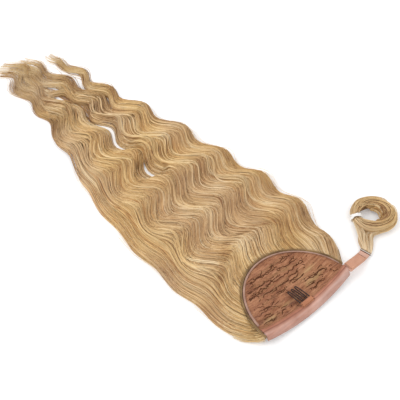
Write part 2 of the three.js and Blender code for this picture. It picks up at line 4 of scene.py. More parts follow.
import bmesh
import bpy
import numpy as np
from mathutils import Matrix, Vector


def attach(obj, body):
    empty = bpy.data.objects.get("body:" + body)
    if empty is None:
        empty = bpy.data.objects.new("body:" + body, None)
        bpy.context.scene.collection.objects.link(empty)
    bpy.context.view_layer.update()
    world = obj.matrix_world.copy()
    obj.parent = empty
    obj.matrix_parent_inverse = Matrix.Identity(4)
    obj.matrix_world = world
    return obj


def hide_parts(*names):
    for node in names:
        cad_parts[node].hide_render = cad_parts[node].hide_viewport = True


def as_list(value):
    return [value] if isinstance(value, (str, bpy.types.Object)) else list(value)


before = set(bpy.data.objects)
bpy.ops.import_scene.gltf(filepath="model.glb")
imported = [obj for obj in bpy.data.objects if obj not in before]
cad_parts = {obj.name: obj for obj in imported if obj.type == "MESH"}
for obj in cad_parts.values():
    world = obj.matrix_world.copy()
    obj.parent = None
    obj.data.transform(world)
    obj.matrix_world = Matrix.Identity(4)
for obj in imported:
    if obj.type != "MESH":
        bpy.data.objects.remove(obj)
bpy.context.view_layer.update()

# Lengths below are in millimetres with y counted from the cap's front edge, as the part is drawn.
# Each finished piece is moved back by half of the cap's depth and turned into metres.
CAP_HALF = 60.5
CAP_DEPTH = 66
CAP_SKEW = 0.06
CAP_WALL = 2
CAP_FRONT_BOW = 5
CAP_FRONT_HEIGHT = 8.5
CAP_CORNER_LIFT = 5
CAP_DOME_LIFT = 5.5
CAP_DISH = 4.5
SEAM_GAP = 0.3

HAIR_LENGTH = 515
HAIR_SPREAD = 95
HAIR_LOFT = 21
ROOT_BLEND = 22
ROOT_LOFT = 0.7
ROOT_RISE = 33
TIPS_FROM = 336
WAVE_ONSET = 60
WAVE_SWING = 5.8
WAVE_LENGTH_AT_CAP = 72
WAVE_LENGTH_AT_TIPS = 46
FIRST_CREST = 86
CREST_TILT = 0.1
WAVE_SHORTENING = (WAVE_LENGTH_AT_CAP - WAVE_LENGTH_AT_TIPS) / HAIR_LENGTH
INNER_SWING = 1.65
BED_DEPTH = 1.0
BED_END = 0.69
BED_TURN = 0.8
LOCK_SHARE = 0.085
CLUMP_SHARE = 0.03
LIGHT_SHARE = 0.1
COUNTED_FROM = 1.2
UNDER_CAP = 0.3
UNDER_BINDING = 12.2
SEAT_IN_BINDING = 0.02

STRAND_RADII = (0.24, 0.4)
DEEP_RADII = (0.4, 0.6)
WISP_RADII = (0.2, 0.38)
COIL_RADII = (0.28, 0.42)
FLYAWAY_RADII = (0.11, 0.17)
COIL_FLYAWAY_RADIUS = 0.15
LEAST_HEIGHT = 0.15
LEAST_GAP = 0.2

COIL_CENTRE = np.array([140.47, 30.62])
COIL_SQUASH = 0.13
SQUASH_WAY = math.radians(48)
COIL_RADIUS = 19.5
TURN_WIDTH = 15
TURN_HEIGHT = 9.5
TIE_ANGLE = 150
TIE_PULL = 72
TIE_PINCH = 0.55

# Share of the hair's length, of its spread on both sides, and of its loft
FALL = np.array([
    [0.0, 0.8, 0.75, 0.78],
    [0.06, 0.86, 0.84, 0.9],
    [0.13, 0.89, 0.95, 0.97],
    [0.2, 0.91, 1.0, 1.0],
    [0.3, 0.91, 0.98, 0.95],
    [0.4, 0.89, 0.9, 0.88],
    [0.5, 0.82, 0.82, 0.8],
    [0.6, 0.69, 0.74, 0.7],
    [0.7, 0.56, 0.61, 0.6],
    [0.8, 0.47, 0.52, 0.5],
    [0.9, 0.42, 0.46, 0.36],
    [1.0, 0.27, 0.3, 0.2],
])

# Locks that the tips part into: tress, half widths at the start and tip, loft, and middle line
TIP_LINES = [
    (-1, 7.0, 6.5, 7.0, [
        (-50, 334), (-46, 354), (-38, 372), (-34, 392), (-34, 412), (-31, 428), (-34, 445), (-39, 460),
        (-33, 475), (-22, 487), (-20, 499), (-29, 509), (-39, 517)]),
    (-1, 8.5, 7.5, 9.0, [
        (-38, 336), (-34, 355), (-25, 372), (-22, 393), (-24, 413), (-23, 429), (-27, 446), (-30, 462),
        (-22, 478), (-11, 487), (-9, 500), (-19, 511), (-30, 519)]),
    (-1, 8.5, 6.5, 9.5, [
        (-21, 342), (-16, 361), (-9, 380), (-9, 399), (-15, 415), (-18, 431), (-22, 449), (-20, 464),
        (-9, 478), (-2, 487), (-3, 500), (-12, 514), (-22, 522)]),
    (-1, 6.0, 5.0, 8.0, [
        (-11, 340), (-7, 358), (1, 374), (-2, 388), (-12, 400), (-18, 416), (-20, 440), (-14, 459),
        (-3, 470), (4, 480), (2, 493), (-6, 505)]),
    (1, 6.0, 3.0, 10.0, [
        (10, 340), (8, 358), (6, 374), (15, 388), (16, 401), (7, 416), (-4, 431), (-11, 444), (-17, 456),
        (-17, 467), (-10, 472), (-5, 469), (-5, 461)]),
    (1, 8.5, 6.0, 10.5, [
        (19, 340), (18, 356), (18, 371), (21, 388), (16, 406), (10, 426), (3, 443), (0, 457), (-4, 471),
        (-9, 481), (-11, 493), (-16, 505)]),
    (1, 9.5, 4.0, 9.0, [
        (33, 346), (31, 364), (27, 382), (25, 402), (21, 426), (17, 446), (13, 460), (11, 475), (12, 490),
        (8, 503), (1, 514)]),
    (1, 9.5, 2.5, 7.5, [
        (46, 344), (43, 362), (42, 381), (40, 398), (36, 414), (37, 429), (44, 438), (43, 450), (35, 462),
        (30, 476), (28, 487), (31, 497)]),
    (1, 5.0, 3.0, 6.0, [
        (57, 342), (53, 362), (52, 382), (47, 400), (41, 415), (41, 430), (47, 440), (45, 452), (37, 464),
        (33, 477), (32, 489), (36, 499)]),
]

# Shares across the hair between which the left and the right tress lie
TRESS_SPANS = {-1: (-1.0, -0.02), 1: (-0.1, 1.0)}
INNER_EDGES = {-1: -0.02, 1: -0.1}

# Where the slit between the tresses opens: place down the hair, half length and width of the opening
SLIT_OPENINGS = [(250, 19, 6.5), (324, 40, 6.6)]
SLIT_MIDDLE = 3.0
SLIT_PHASE = -0.5
SLIT_CLOSES = [(8, 398), (7, 391), (4, 381), (1, 370), (-3, 360), (-5, 350)]

# How the wisps at the cap's corner bend: spots at the corner, spots farther up its edge, and their stray
WISP_SPOTS = [
    ((-60.6, -3.4), (-59.6, 15.0), (0.3, 0.5)),
    ((-64.5, -2.4), (-63.5, 17.0), (0.8, 1.0)),
    ((-73.0, 5.0), (-71.0, 25.0), (1.6, 1.8)),
    ((-79.5, 24.0), (-78.0, 42.0), (1.6, 4.0)),
]


# Small tools

UPWARDS = np.array([0.0, 0.0, 1.0])


def mix(a, b, share):
    return a + (b - a) * share


def ease(share):
    share = np.clip(share, 0, 1)
    return share * share * (3 - 2 * share)


def hump(value, middle, half):
    """A soft hump of height 1 round a middle value."""
    return np.exp(-(((value - middle) / half) ** 2))


def field(seed, across_pitch, down_pitch, waves=7):
    """A smooth wandering value about -1 to 1 over the hair, with those pitches across and down."""
    rng = np.random.default_rng(seed)
    bends = rng.normal(0, 1, (waves, 2)) / np.array([across_pitch, down_pitch])
    phases = rng.uniform(0, 2 * np.pi, waves)
    share = 1.6 / math.sqrt(waves)

    def read(across, down):
        total = 0
        for (per_across, per_down), phase in zip(bends, phases):
            total = total + np.sin(across * per_across + down * per_down + phase)
        return np.clip(total * share / 1.4, -1.4, 1.4)

    return read


def to_frame(points):
    """Millimetres from the cap's front edge into metres in the frame."""
    return (np.asarray(points, float) - [0, CAP_DEPTH / 2, 0]) * 0.001


def add_object(name, mesh, material):
    piece = bpy.data.objects.new(name, mesh)
    bpy.context.scene.collection.objects.link(piece)
    mesh.materials.clear()
    mesh.materials.append(material)
    for polygon in mesh.polygons:
        polygon.use_smooth = True
    return piece


def finish_piece(piece, slot, *nodes):
    """The piece rides on the hairpiece and stands for its nodes; the slot is not used."""
    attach(piece, "root")
    if nodes:
        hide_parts(*nodes)
    return piece


def write_values(mesh, name, values):
    """A number at every point of a mesh, for its material."""
    layer = mesh.attributes.new(name, "FLOAT", "POINT")
    layer.data.foreach_set("value", np.asarray(values, np.float32).ravel())


def shaped_grid(name, material, rows, columns, shape, tube=False, ring=False, values=None):
    """A grid whose points a function puts in place from their shares down and across the grid.

    A tube is joined along its two sides and closed at both ends, and a ring is joined at its ends too.
    """
    shell = bmesh.new()
    bmesh.ops.create_grid(shell, x_segments=columns, y_segments=rows, size=0.5)
    layer = shell.loops.layers.uv.new("OFBake")
    for face in shell.faces:
        for loop in face.loops:
            loop[layer].uv = (loop.vert.co.x + 0.5, loop.vert.co.y + 0.5)
    mesh = bpy.data.meshes.new(name)
    shell.to_mesh(mesh)
    shell.free()
    flat = np.zeros(len(mesh.vertices) * 3, np.float32)
    mesh.vertices.foreach_get("co", flat)
    flat = flat.reshape(-1, 3).astype(float)
    down = np.clip(flat[:, 1] + 0.5, 0, 1)
    across = np.clip(flat[:, 0] + 0.5, 0, 1)
    mesh.vertices.foreach_set("co", to_frame(shape(down, across)).astype(np.float32).ravel())
    for key, reader in (values or {}).items():
        write_values(mesh, key, reader(down, across))
    if tube or ring:
        shell = bmesh.new()
        shell.from_mesh(mesh)
        bmesh.ops.remove_doubles(shell, verts=shell.verts, dist=2e-6)
        if not ring:
            rim = [edge for edge in shell.edges if edge.is_boundary]
            bmesh.ops.holes_fill(shell, edges=rim, sides=0)
        bmesh.ops.recalc_face_normals(shell, faces=shell.faces)
        shell.to_mesh(mesh)
        shell.free()
    mesh.update()
    return add_object(name, mesh, material)


def thicken(piece, thickness):
    """A wall of that many millimetres below the face."""
    wall = piece.modifiers.new("wall", "SOLIDIFY")
    wall.thickness = thickness * 0.001
    wall.offset = -1.0
    graph = bpy.context.evaluated_depsgraph_get()
    done = bpy.data.meshes.new_from_object(piece.evaluated_get(graph))
    piece.modifiers.clear()
    piece.data = done


def unit(vectors):
    return vectors / np.maximum(np.linalg.norm(vectors, axis=-1, keepdims=True), 1e-9)


def rows_at(rows, down):
    """Evenly spaced rows of values, read at shares of their length."""
    rows = np.asarray(rows, float)
    stops = np.linspace(0, 1, len(rows))
    if rows.ndim == 1:
        return np.interp(down, stops, rows)[:, None]
    return np.stack([np.interp(down, stops, column) for column in rows.T], axis=1)


def oval_tube(middles, sides, widths, heights):
    """The shape of a tube with oval sections, read between rows of spots down its length."""
    def shape(down, across):
        turn = 2 * np.pi * across[:, None]
        out = rows_at(sides, down) * np.cos(turn) * rows_at(widths, down) / 2
        rise = UPWARDS * np.sin(turn) * rows_at(heights, down) / 2
        return rows_at(middles, down) + out + rise

    return shape


def flat_section(across, width, thickness, square, soft):
    """A rounded flat section: how far sideways and up its rim lies, all round."""
    turn = across * 2 * np.pi
    c, s = np.cos(turn), np.sin(turn)
    wide = np.sign(c) * np.abs(c) ** square * width / 2
    high = np.sign(s) * np.abs(s) ** soft * thickness / 2
    return wide, high


def smoothed(line, rounds):
    """A row of points, or rows of rows, eased between its fixed ends."""
    line = line.copy()
    for _ in range(rounds):
        line[..., 1:-1, :] = (line[..., :-2, :] + 2 * line[..., 1:-1, :] + line[..., 2:, :]) / 4
    return line


def sides_of(lines):
    """Directions sideways and up at every point of lines."""
    ahead = unit(np.gradient(lines, axis=-2))
    side = unit(np.cross(ahead, UPWARDS))
    return side, np.cross(side, ahead)


def strands(name, material, paths, radii, tones, corners=3, bake_columns=4):
    """Many fine tubes joined in one mesh: their lines, radii and how light each one is."""
    count, steps, _ = paths.shape
    side, up = sides_of(paths)
    turns = np.pi / 2 + 2 * np.pi * np.arange(corners) / corners
    ring = np.cos(turns)[:, None] * side[:, :, None, :] + np.sin(turns)[:, None] * up[:, :, None, :]
    points = paths[:, :, None, :] + radii[:, :, None, None] * ring
    points[..., 2] = np.maximum(points[..., 2], LEAST_HEIGHT)
    index = np.arange(count * steps * corners).reshape(count, steps, corners)
    here, ahead_of = index[:, :-1, :], index[:, 1:, :]
    walls = np.stack(
        [here, ahead_of, np.roll(ahead_of, -1, axis=2), np.roll(here, -1, axis=2)], axis=-1
    ).reshape(-1, 4)
    heads = index[:, 0, :]
    ends = index[:, -1, ::-1]
    faces = walls.tolist() + heads.tolist() + ends.tolist()
    mesh = bpy.data.meshes.new(name)
    mesh.from_pydata(to_frame(points.reshape(-1, 3)).tolist(), [], faces)
    # Each strand has a strip of its own on the bake's map, and its two ends lie at the end of the strip
    rows = math.ceil(count / bake_columns)
    column = (np.arange(count) // rows) / bake_columns
    row = (np.arange(count) % rows) / rows
    along = np.arange(steps - 1) / (steps - 1) * 0.96
    step = 0.96 / (steps - 1)
    left = column[:, None, None] + along[None, :, None] / bake_columns + np.zeros((1, 1, corners))
    strip = 0.9 / corners
    low = row[:, None, None] + (np.arange(corners)[None, None, :] * strip + 0.03) / rows
    low = low + np.zeros((1, steps - 1, 1))
    right, high = left + step / bake_columns, low + strip / rows
    walls_map = np.stack([left, low, right, low, right, high, left, high], axis=-1).reshape(-1)
    cap_left = column + 0.97 / bake_columns
    cap_maps = []
    for shift in (0.25, 0.75):
        spin = 2 * np.pi * np.arange(corners) / corners
        end_u = cap_left[:, None] + (0.01 + 0.009 * np.cos(spin)[None, :]) / bake_columns
        end_v = row[:, None] + (shift + 0.2 * np.sin(spin)[None, :]) / rows
        cap_maps.append(np.stack([end_u, end_v], axis=-1).reshape(-1))
    layer = mesh.uv_layers.new(name="OFBake")
    layer.data.foreach_set("uv", np.concatenate([walls_map, *cap_maps]).astype(np.float32))
    tones = np.broadcast_to(np.asarray(tones, float).reshape(count, -1), (count, steps))
    write_values(mesh, "tone", np.repeat(tones.ravel(), corners))
    mesh.update()
    return add_object(name, mesh, material)


def thread_piece(name, material, lines, radii, slot, *nodes, tones=None, corners=6, bake_columns=4):
    """Stitches, cords, wires or hairs along lines, finished as one piece."""
    lines = np.array(lines)
    radii = np.zeros(lines.shape[:2]) + radii
    tones = np.zeros(len(lines)) if tones is None else tones
    piece = strands(name, material, lines, radii, tones, corners, bake_columns)
    return finish_piece(piece, slot, *nodes)


def tube_piece(name, material, rows, columns, shape, slot, *nodes, ring=False, values=None):
    """A closed soft piece from a shaped grid."""
    piece = shaped_grid(name, material, rows, columns, shape, tube=True, ring=ring, values=values)
    return finish_piece(piece, slot, *nodes)


class Draws:
    """Seeded random values, one for each strand."""

    def __init__(self, rng, count):
        self.rng = rng
        self.size = (count, 1)

    def near(self, spread):
        return self.rng.normal(0, spread, self.size)

    def between(self, least, most):
        return self.rng.uniform(least, most, self.size)

    def share(self):
        return self.rng.random(self.size)


# Materials

class Finish:
    """A node material that is put together step by step."""

    def __init__(self, name, roughness, **sockets):
        self.material = bpy.data.materials.new(name)
        self.material.use_nodes = True
        self.tree = self.material.node_tree
        self.shader = self.tree.nodes["Principled BSDF"]
        self.shader.inputs["Roughness"].default_value = roughness
        for key, value in sockets.items():
            self.shader.inputs[key.replace("_", " ")].default_value = value
        self.place = self.tree.nodes.new("ShaderNodeTexCoord").outputs["Object"]

    def node(self, kind, inputs=None, **settings):
        made = self.tree.nodes.new(kind)
        for key, value in settings.items():
            setattr(made, key, value)
        for key, value in (inputs or {}).items():
            if isinstance(value, bpy.types.NodeSocket):
                self.tree.links.new(value, made.inputs[key])
            else:
                made.inputs[key].default_value = value
        return made

    def stretched(self, scale, turn=(0, 0, 0), source=None):
        """Places in metres, multiplied along each axis."""
        inputs = {"Vector": source or self.place, "Scale": scale, "Rotation": turn}
        return self.node("ShaderNodeMapping", inputs).outputs["Vector"]

    def value(self, name):
        return self.node("ShaderNodeAttribute", attribute_name=name).outputs["Fac"]

    def noise(self, vector, detail=3.0, roughness=0.55):
        inputs = {"Vector": vector, "Scale": 1.0, "Detail": detail, "Roughness": roughness}
        return self.node("ShaderNodeTexNoise", inputs).outputs["Fac"]

    def sum(self, a, b, operation="ADD", clamp=False):
        inputs = {0: a, 1: b}
        return self.node("ShaderNodeMath", inputs, operation=operation, use_clamp=clamp).outputs[0]

    def ranged(self, value, low, high, to_low=0.0, to_high=1.0):
        names = ["Value", "From Min", "From Max", "To Min", "To Max"]
        inputs = dict(zip(names, [value, low, high, to_low, to_high]))
        return self.node("ShaderNodeMapRange", inputs, clamp=True).outputs["Result"]

    def ramp(self, value, stops):
        made = self.node("ShaderNodeValToRGB", {"Fac": value})
        elements = made.color_ramp.elements
        while len(elements) < len(stops):
            elements.new(0.5)
        for element, (position, colour) in zip(elements, stops):
            element.position = position
            element.color = (*colour, 1)
        return made.outputs["Color"]

    def blend(self, share, first, second, kind="MIX"):
        made = self.node("ShaderNodeMix", data_type="RGBA", blend_type=kind)
        for key, value in ((0, share), (6, first), (7, second)):
            if isinstance(value, bpy.types.NodeSocket):
                self.tree.links.new(value, made.inputs[key])
            else:
                made.inputs[key].default_value = value if key == 0 else (*value, 1)
        return made.outputs[2]

    def sum_colours(self, first, second):
        return self.blend(1.0, first, second, "MULTIPLY")

    def colour(self, socket):
        self.tree.links.new(socket, self.shader.inputs["Base Color"])
        return self

    def bump(self, height, depth_mm):
        made = self.node("ShaderNodeBump", {"Height": height, "Distance": depth_mm * 0.001, "Strength": 1.0})
        self.tree.links.new(made.outputs["Normal"], self.shader.inputs["Normal"])
        return self


GOLD_SHADES = [
    (0.0, (0.30, 0.125, 0.036)),
    (0.28, (0.53, 0.29, 0.10)),
    (0.55, (0.70, 0.462, 0.195)),
    (0.8, (0.82, 0.585, 0.28)),
    (1.0, (0.93, 0.73, 0.43)),
]
ASH_SHADES = [
    (0.0, (0.28, 0.122, 0.05)),
    (0.28, (0.50, 0.285, 0.13)),
    (0.55, (0.66, 0.45, 0.245)),
    (0.8, (0.79, 0.59, 0.36)),
    (1.0, (0.91, 0.755, 0.54)),
]


def hair_colours(made, shade):
    """Honey hair that turns ashen in places."""
    share = made.ranged(made.noise(made.stretched((16, 9, 16)), detail=1.0), 0.4, 0.62, 0.0, 0.8)
    made.colour(made.blend(share, made.ramp(shade, GOLD_SHADES), made.ramp(shade, ASH_SHADES)))


def hair_fibre(name):
    """Honey-blonde hair: each strand's tone, partly its own shade and partly painted light and shade,
    lighter and darker stretches down it, and a soft gloss.
    """
    made = Finish(name, 0.42, Specular_IOR_Level=0.35, Sheen_Weight=0.12, Sheen_Roughness=0.4)
    stretch = made.noise(made.stretched((38, 30, 60)), detail=2.0)
    fleck = made.noise(made.stretched((900, 260, 900)), detail=1.0)
    shade = made.sum(made.value("tone"), made.ranged(stretch, 0.3, 0.7, -0.1, 0.1))
    shade = made.sum(shade, made.ranged(fleck, 0.3, 0.7, -0.04, 0.04), clamp=True)
    hair_colours(made, shade)
    return made.material


def hair_bed_finish(name):
    """The same hair as a surface: fine streaks along its flow in wider lighter and darker locks, with
    painted shade between locks and painted light.
    """
    made = Finish(name, 0.46, Specular_IOR_Level=0.3, Sheen_Weight=0.12, Sheen_Roughness=0.4)
    places = {"X": made.value("flow_across"), "Y": made.value("flow_down"), "Z": 0.0}
    flow = made.node("ShaderNodeCombineXYZ", places).outputs["Vector"]
    fine = made.noise(made.stretched((1.7, 0.014, 1), source=flow), detail=3.0)
    streak = made.noise(made.stretched((0.6, 0.010, 1), source=flow), detail=2.0)
    broad = made.noise(made.stretched((0.16, 0.007, 1), source=flow), detail=2.0)
    gaps = made.noise(made.stretched((0.85, 0.016, 5), source=flow), detail=1.0)
    shade = made.ranged(fine, 0.28, 0.72, 0.08, 0.84)
    shade = made.sum(shade, made.ranged(streak, 0.28, 0.72, -0.22, 0.22))
    shade = made.sum(shade, made.ranged(broad, 0.3, 0.7, -0.1, 0.1))
    # Painted shade in thin dark lines where locks meet
    shade = made.sum(shade, made.ranged(gaps, 0.6, 0.72, 0.0, -0.5))
    # Painted light and shade of the waves, from the light value
    shade = made.sum(shade, made.sum(made.value("light"), 0.09, "MULTIPLY"), clamp=True)
    hair_colours(made, shade)
    made.bump(made.sum(fine, streak), 0.6)
    return made.material


def woven_tape(name, light, dark, roughness, pitch_mm, gloss=0.3, weave_mm=0.12):
    """Plain-woven tape: warp and weft at real pitch, with slow changes of shade."""
    made = Finish(name, roughness, Specular_IOR_Level=gloss, Sheen_Weight=0.25, Sheen_Roughness=0.35)
    per_metre = 1000 / pitch_mm
    inputs = {"Vector": made.place, "Scale": per_metre / 2, "Distortion": 0.6, "Detail": 1.0}
    warp = made.node("ShaderNodeTexWave", inputs, bands_direction="X").outputs["Fac"]
    weft = made.node("ShaderNodeTexWave", inputs, bands_direction="Y").outputs["Fac"]
    weave = made.sum(warp, weft, "MULTIPLY")
    slow = made.noise(made.stretched((70, 70, 70)), detail=3.0)
    woven = made.ranged(weave, 0.0, 1.0, -0.14, 0.14)
    shade = made.sum(made.ranged(slow, 0.3, 0.7, 0.15, 0.85), woven, clamp=True)
    made.colour(made.ramp(shade, [(0.0, dark), (1.0, light)]))
    made.bump(weave, weave_mm)
    return made


def thread_finish(name, colour, light):
    made = Finish(name, 0.7, Specular_IOR_Level=0.15)
    twist = made.noise(made.stretched((1500, 1500, 1500)), detail=1.0)
    made.colour(made.ramp(made.ranged(twist, 0.3, 0.7), [(0.0, colour), (1.0, light)]))
    made.bump(twist, 0.08)
    return made.material


hair_strand = hair_fibre("hair_strand")
hair_deep = hair_bed_finish("hair_deep")
brown_thread = thread_finish("brown_thread", (0.062, 0.020, 0.008), (0.14, 0.054, 0.024))
tan_thread = thread_finish("tan_thread", (0.38, 0.19, 0.09), (0.54, 0.32, 0.17))
fray_thread = thread_finish("fray_thread", (0.12, 0.06, 0.02), (0.38, 0.24, 0.10))
white_thread = thread_finish("white_thread", (0.62, 0.55, 0.48), (0.82, 0.77, 0.7))

# Floor, light and camera, in metres

FLOOR_HALF = 40
CAMERA_SPOT = (-0.42495, -0.34426, 0.78673)
CAMERA_LOOK = (0.42928, 0.47843, -0.76604)
LENS_MM = 81
LAMPS_AIM = (0.02, 0.2, 0)
LAMP_SIZE = 1.2
LAMPS = [("key_light", (-1.0, 0.7, 1.5), 12.0), ("side_light", (-0.2, -1.1, 1.3), 5.0)]


def studio():
    bpy.context.scene.view_settings.view_transform = "Standard"
    shell = bmesh.new()
    bmesh.ops.create_grid(shell, x_segments=4, y_segments=4, size=FLOOR_HALF)
    mesh = bpy.data.meshes.new("floor")
    shell.to_mesh(mesh)
    shell.free()
    paper = Finish("pale_floor", 0.9, Specular_IOR_Level=0.1)
    paper.shader.inputs["Base Color"].default_value = (0.9, 0.9, 0.9, 1)
    # The floor glows faintly, which lightens the shadows on it
    paper.shader.inputs["Emission Color"].default_value = (1, 1, 1, 1)
    paper.shader.inputs["Emission Strength"].default_value = 0.14
    floor = add_object("floor", mesh, paper.material)
    world = bpy.context.scene.world or bpy.data.worlds.new("studio")
    bpy.context.scene.world = world
    world.use_nodes = True
    sky = world.node_tree.nodes["Background"]
    sky.inputs["Color"].default_value = (1, 1, 1, 1)
    sky.inputs["Strength"].default_value = 0.86
    for name, place, power in LAMPS:
        light = bpy.data.lights.new(name, "AREA")
        light.size = LAMP_SIZE
        light.energy = power
        lamp = bpy.data.objects.new(name, light)
        lamp.location = place
        lamp.rotation_euler = (Vector(LAMPS_AIM) - lamp.location).to_track_quat("-Z", "Y").to_euler()
        bpy.context.scene.collection.objects.link(lamp)
    lens = bpy.data.cameras.new("camera")
    lens.sensor_width = 36
    lens.lens = LENS_MM
    camera = bpy.data.objects.new("camera", lens)
    camera.location = CAMERA_SPOT
    camera.rotation_euler = Vector(CAMERA_LOOK).to_track_quat("-Z", "Y").to_euler()
    bpy.context.scene.collection.objects.link(camera)
    bpy.context.scene.camera = camera


studio()

# Cap


def cap_level(x, y):
    """Level of the cap's upper face over a spot of its plan."""
    across, back = x / CAP_HALF, y / CAP_DEPTH
    inside = np.maximum(0, 1 - across**2 - back**2) * np.maximum(0, 4 * back * (1 - back))
    rim = CAP_FRONT_HEIGHT + CAP_CORNER_LIFT * across**2 * (1 - back) + CAP_DOME_LIFT * np.maximum(back, 0)
    return rim - CAP_DISH * inside / 0.75


def cap_spot(across, back, grow=0.0):
    """A spot of the cap's plan, from its front edge to the top of its dome."""
    half = (CAP_HALF + grow) * np.sqrt(np.maximum(0, 1 - back**2))
    lean = 1 - CAP_SKEW * across * np.sqrt(np.maximum(0, 1 - back**2))
    bow = CAP_FRONT_BOW * (1 - across**2) * (1 - back) ** 2
    return across * half, back * (CAP_DEPTH + grow) * lean - bow


def dome_line(degrees, outside, level):
    """Spots round the dome at a distance outside the cap's edge, from -90 to 90 degrees."""
    def edge_at(angle):
        turn = np.radians(angle)
        return np.stack([
            CAP_HALF * np.sin(turn),
            CAP_DEPTH * np.cos(turn) * (1 - CAP_SKEW * np.sin(turn)),
        ], axis=-1)
    degrees = np.asarray(degrees, float)
    edge = edge_at(degrees)
    along = unit(edge_at(degrees + 1) - edge_at(degrees - 1))
    out = np.stack([-along[:, 1], along[:, 0]], axis=-1)
    spot = edge + out * np.asarray(outside)[..., None]
    z = cap_level(edge[:, 0], edge[:, 1]) + level
    return np.column_stack([spot, z]), np.column_stack([out, np.zeros(len(out))])


def net_finish():
    """Brown-pink net over weft rows, with rows of darker gaps and blonde hair showing through."""
    made = Finish("cap_net", 0.75, Specular_IOR_Level=0.2, Sheen_Weight=0.12)
    rows = made.noise(made.stretched((75, 480, 75)), detail=5.0, roughness=0.7)
    patches = made.noise(made.stretched((60, 90, 60)), detail=3.0)
    grain = made.noise(made.stretched((900, 900, 900)), detail=2.0)
    mesh_inputs = {"Vector": made.stretched((1, 1, 1), (0, 0, 0.6)), "Scale": 520.0, "Distortion": 1.5}
    net = made.node("ShaderNodeTexWave", mesh_inputs, bands_direction="DIAGONAL").outputs["Fac"]
    shade = made.ranged(rows, 0.32, 0.62, 0.05, 0.72)
    shade = made.sum(shade, made.ranged(patches, 0.35, 0.65, -0.14, 0.18))
    shade = made.sum(shade, made.ranged(grain, 0.3, 0.7, -0.16, 0.16))
    shade = made.sum(shade, made.ranged(net, 0.0, 1.0, -0.06, 0.06), clamp=True)
    cloth = made.ramp(shade, [
        (0.0, (0.14, 0.048, 0.022)), (0.25, (0.30, 0.115, 0.054)),
        (0.6, (0.44, 0.19, 0.092)), (1.0, (0.60, 0.30, 0.165)),
    ])
    hairs = made.noise(made.stretched((60, 900, 60)), detail=2.0)
    blonde = made.ramp(hairs, [(0.3, (0.36, 0.20, 0.08)), (0.7, (0.66, 0.43, 0.21))])
    made.colour(made.blend(made.value("blonde"), cloth, blonde))
    made.bump(made.sum(rows, made.sum(net, 0.3, "MULTIPLY")), 0.9)
    return made.material


NET_WALL = 1.7
WEFT_PITCH = 8.0
# Places where blonde hair shows through the net: middle and half sizes
BLONDE_SPOTS = [(28, 16, 15, 5), (30, 27, 16, 4), (-42, 8, 10, 4), (10, 43, 12, 2.5), (-12, 12, 16, 2)]
THREAD_ROWS = [6.5 + 6.6 * row for row in range(8)]
THREADS_END = 56
BARE_HALF = 12
BARE_END = 21
TAN_RADIUS = 0.22
# Kinds of brown thread: seed, count, lengths, wiggle, and least and most radius
BROWN_THREADS = [
    (21, 34, (9, 30), 1.25, 0.38, 0.66),
    (23, 46, (3, 9), 0.9, 0.3, 0.56),
    (24, 46, (0.9, 1.8), 0.2, 0.35, 0.62),
]


def pucker(x, y):
    """Creases of the net, which run along the weft rows."""
    broad = field(11, 16.0, 3.6)(x, y)
    fine = field(12, 7.0, 1.5)(x, y)
    return broad * 0.5 + fine * 0.28


def cap_face(across, back):
    """The cap's net between its sewn rows: raised over each weft and sunk between them."""
    x, y = cap_spot(across, back)
    wander = 1.6 * np.sin(x * 0.09 + 1.3) + 0.9 * np.sin(x * 0.23)
    inside = ease((1 - back) * 5) * ease((1 - np.abs(across)) * 9) * ease(back * 12)
    row = 0.5 + 0.5 * np.cos(2 * np.pi * (y + wander) / WEFT_PITCH)
    return x, y, cap_level(x, y) + inside * (0.95 * row - 0.15 + pucker(x, y))


def make_cap():
    def shape(down, across):
        x, y, z = cap_face(2 * across - 1, down * 0.999)
        return np.column_stack([x, y, z])

    def blonde(down, across):
        x, y = cap_spot(2 * across - 1, down)
        shown = 0
        for spot_x, spot_y, width, depth in BLONDE_SPOTS:
            far = ((x - spot_x) / width) ** 2 + ((y - spot_y) / depth) ** 2
            shown = shown + np.exp(-far * 1.6)
        return np.clip(shown * (0.8 + 0.5 * field(13, 5.0, 1.3)(x, y)), 0, 1) * 0.75

    cap = shaped_grid("cap_net", net_finish(), 90, 110, shape, values={"blonde": blonde})
    thicken(cap, NET_WALL)
    finish_piece(cap, "net", "weft_cap")
    cloth(cap, 121, 72, "stretched", ["hair_fall"], area=6900)


def thread_lines(seed, count, lengths, wiggle, rows):
    """Wiggly lines of the plan that keep to the cap's sewn rows."""
    rng = np.random.default_rng(seed)
    lines = []
    while len(lines) < count:
        y = rows[int(rng.integers(len(rows)))] + rng.normal(0, 1.1)
        reach = CAP_HALF * math.sqrt(max(0.02, 1 - (y / CAP_DEPTH) ** 2)) - 5
        length = rng.uniform(*lengths)
        x = rng.uniform(-reach, max(reach - length, -reach + 1))
        at_comb = abs(x + length / 2) < BARE_HALF + length / 2 and y < BARE_END
        if y > THREADS_END or at_comb:
            continue
        along = np.linspace(0, 1, 26)
        coarse = field(int(rng.integers(1e6)), 3.6, 1.0)(along * length, 0 * along)
        fine = field(int(rng.integers(1e6)), 1.3, 1.0)(along * length, 0 * along)
        hook = rng.choice([-1, 1]) * rng.uniform(0, 2.6) * np.clip((along - 0.86) / 0.14, 0, 1) ** 1.5
        xs = x + along * length - np.abs(hook) * 0.7
        ys = y + wiggle * (coarse + 0.35 * fine) + rng.normal(0, 0.06) * length * along + hook
        lines.append(np.column_stack([xs, ys]))
    return lines, rng


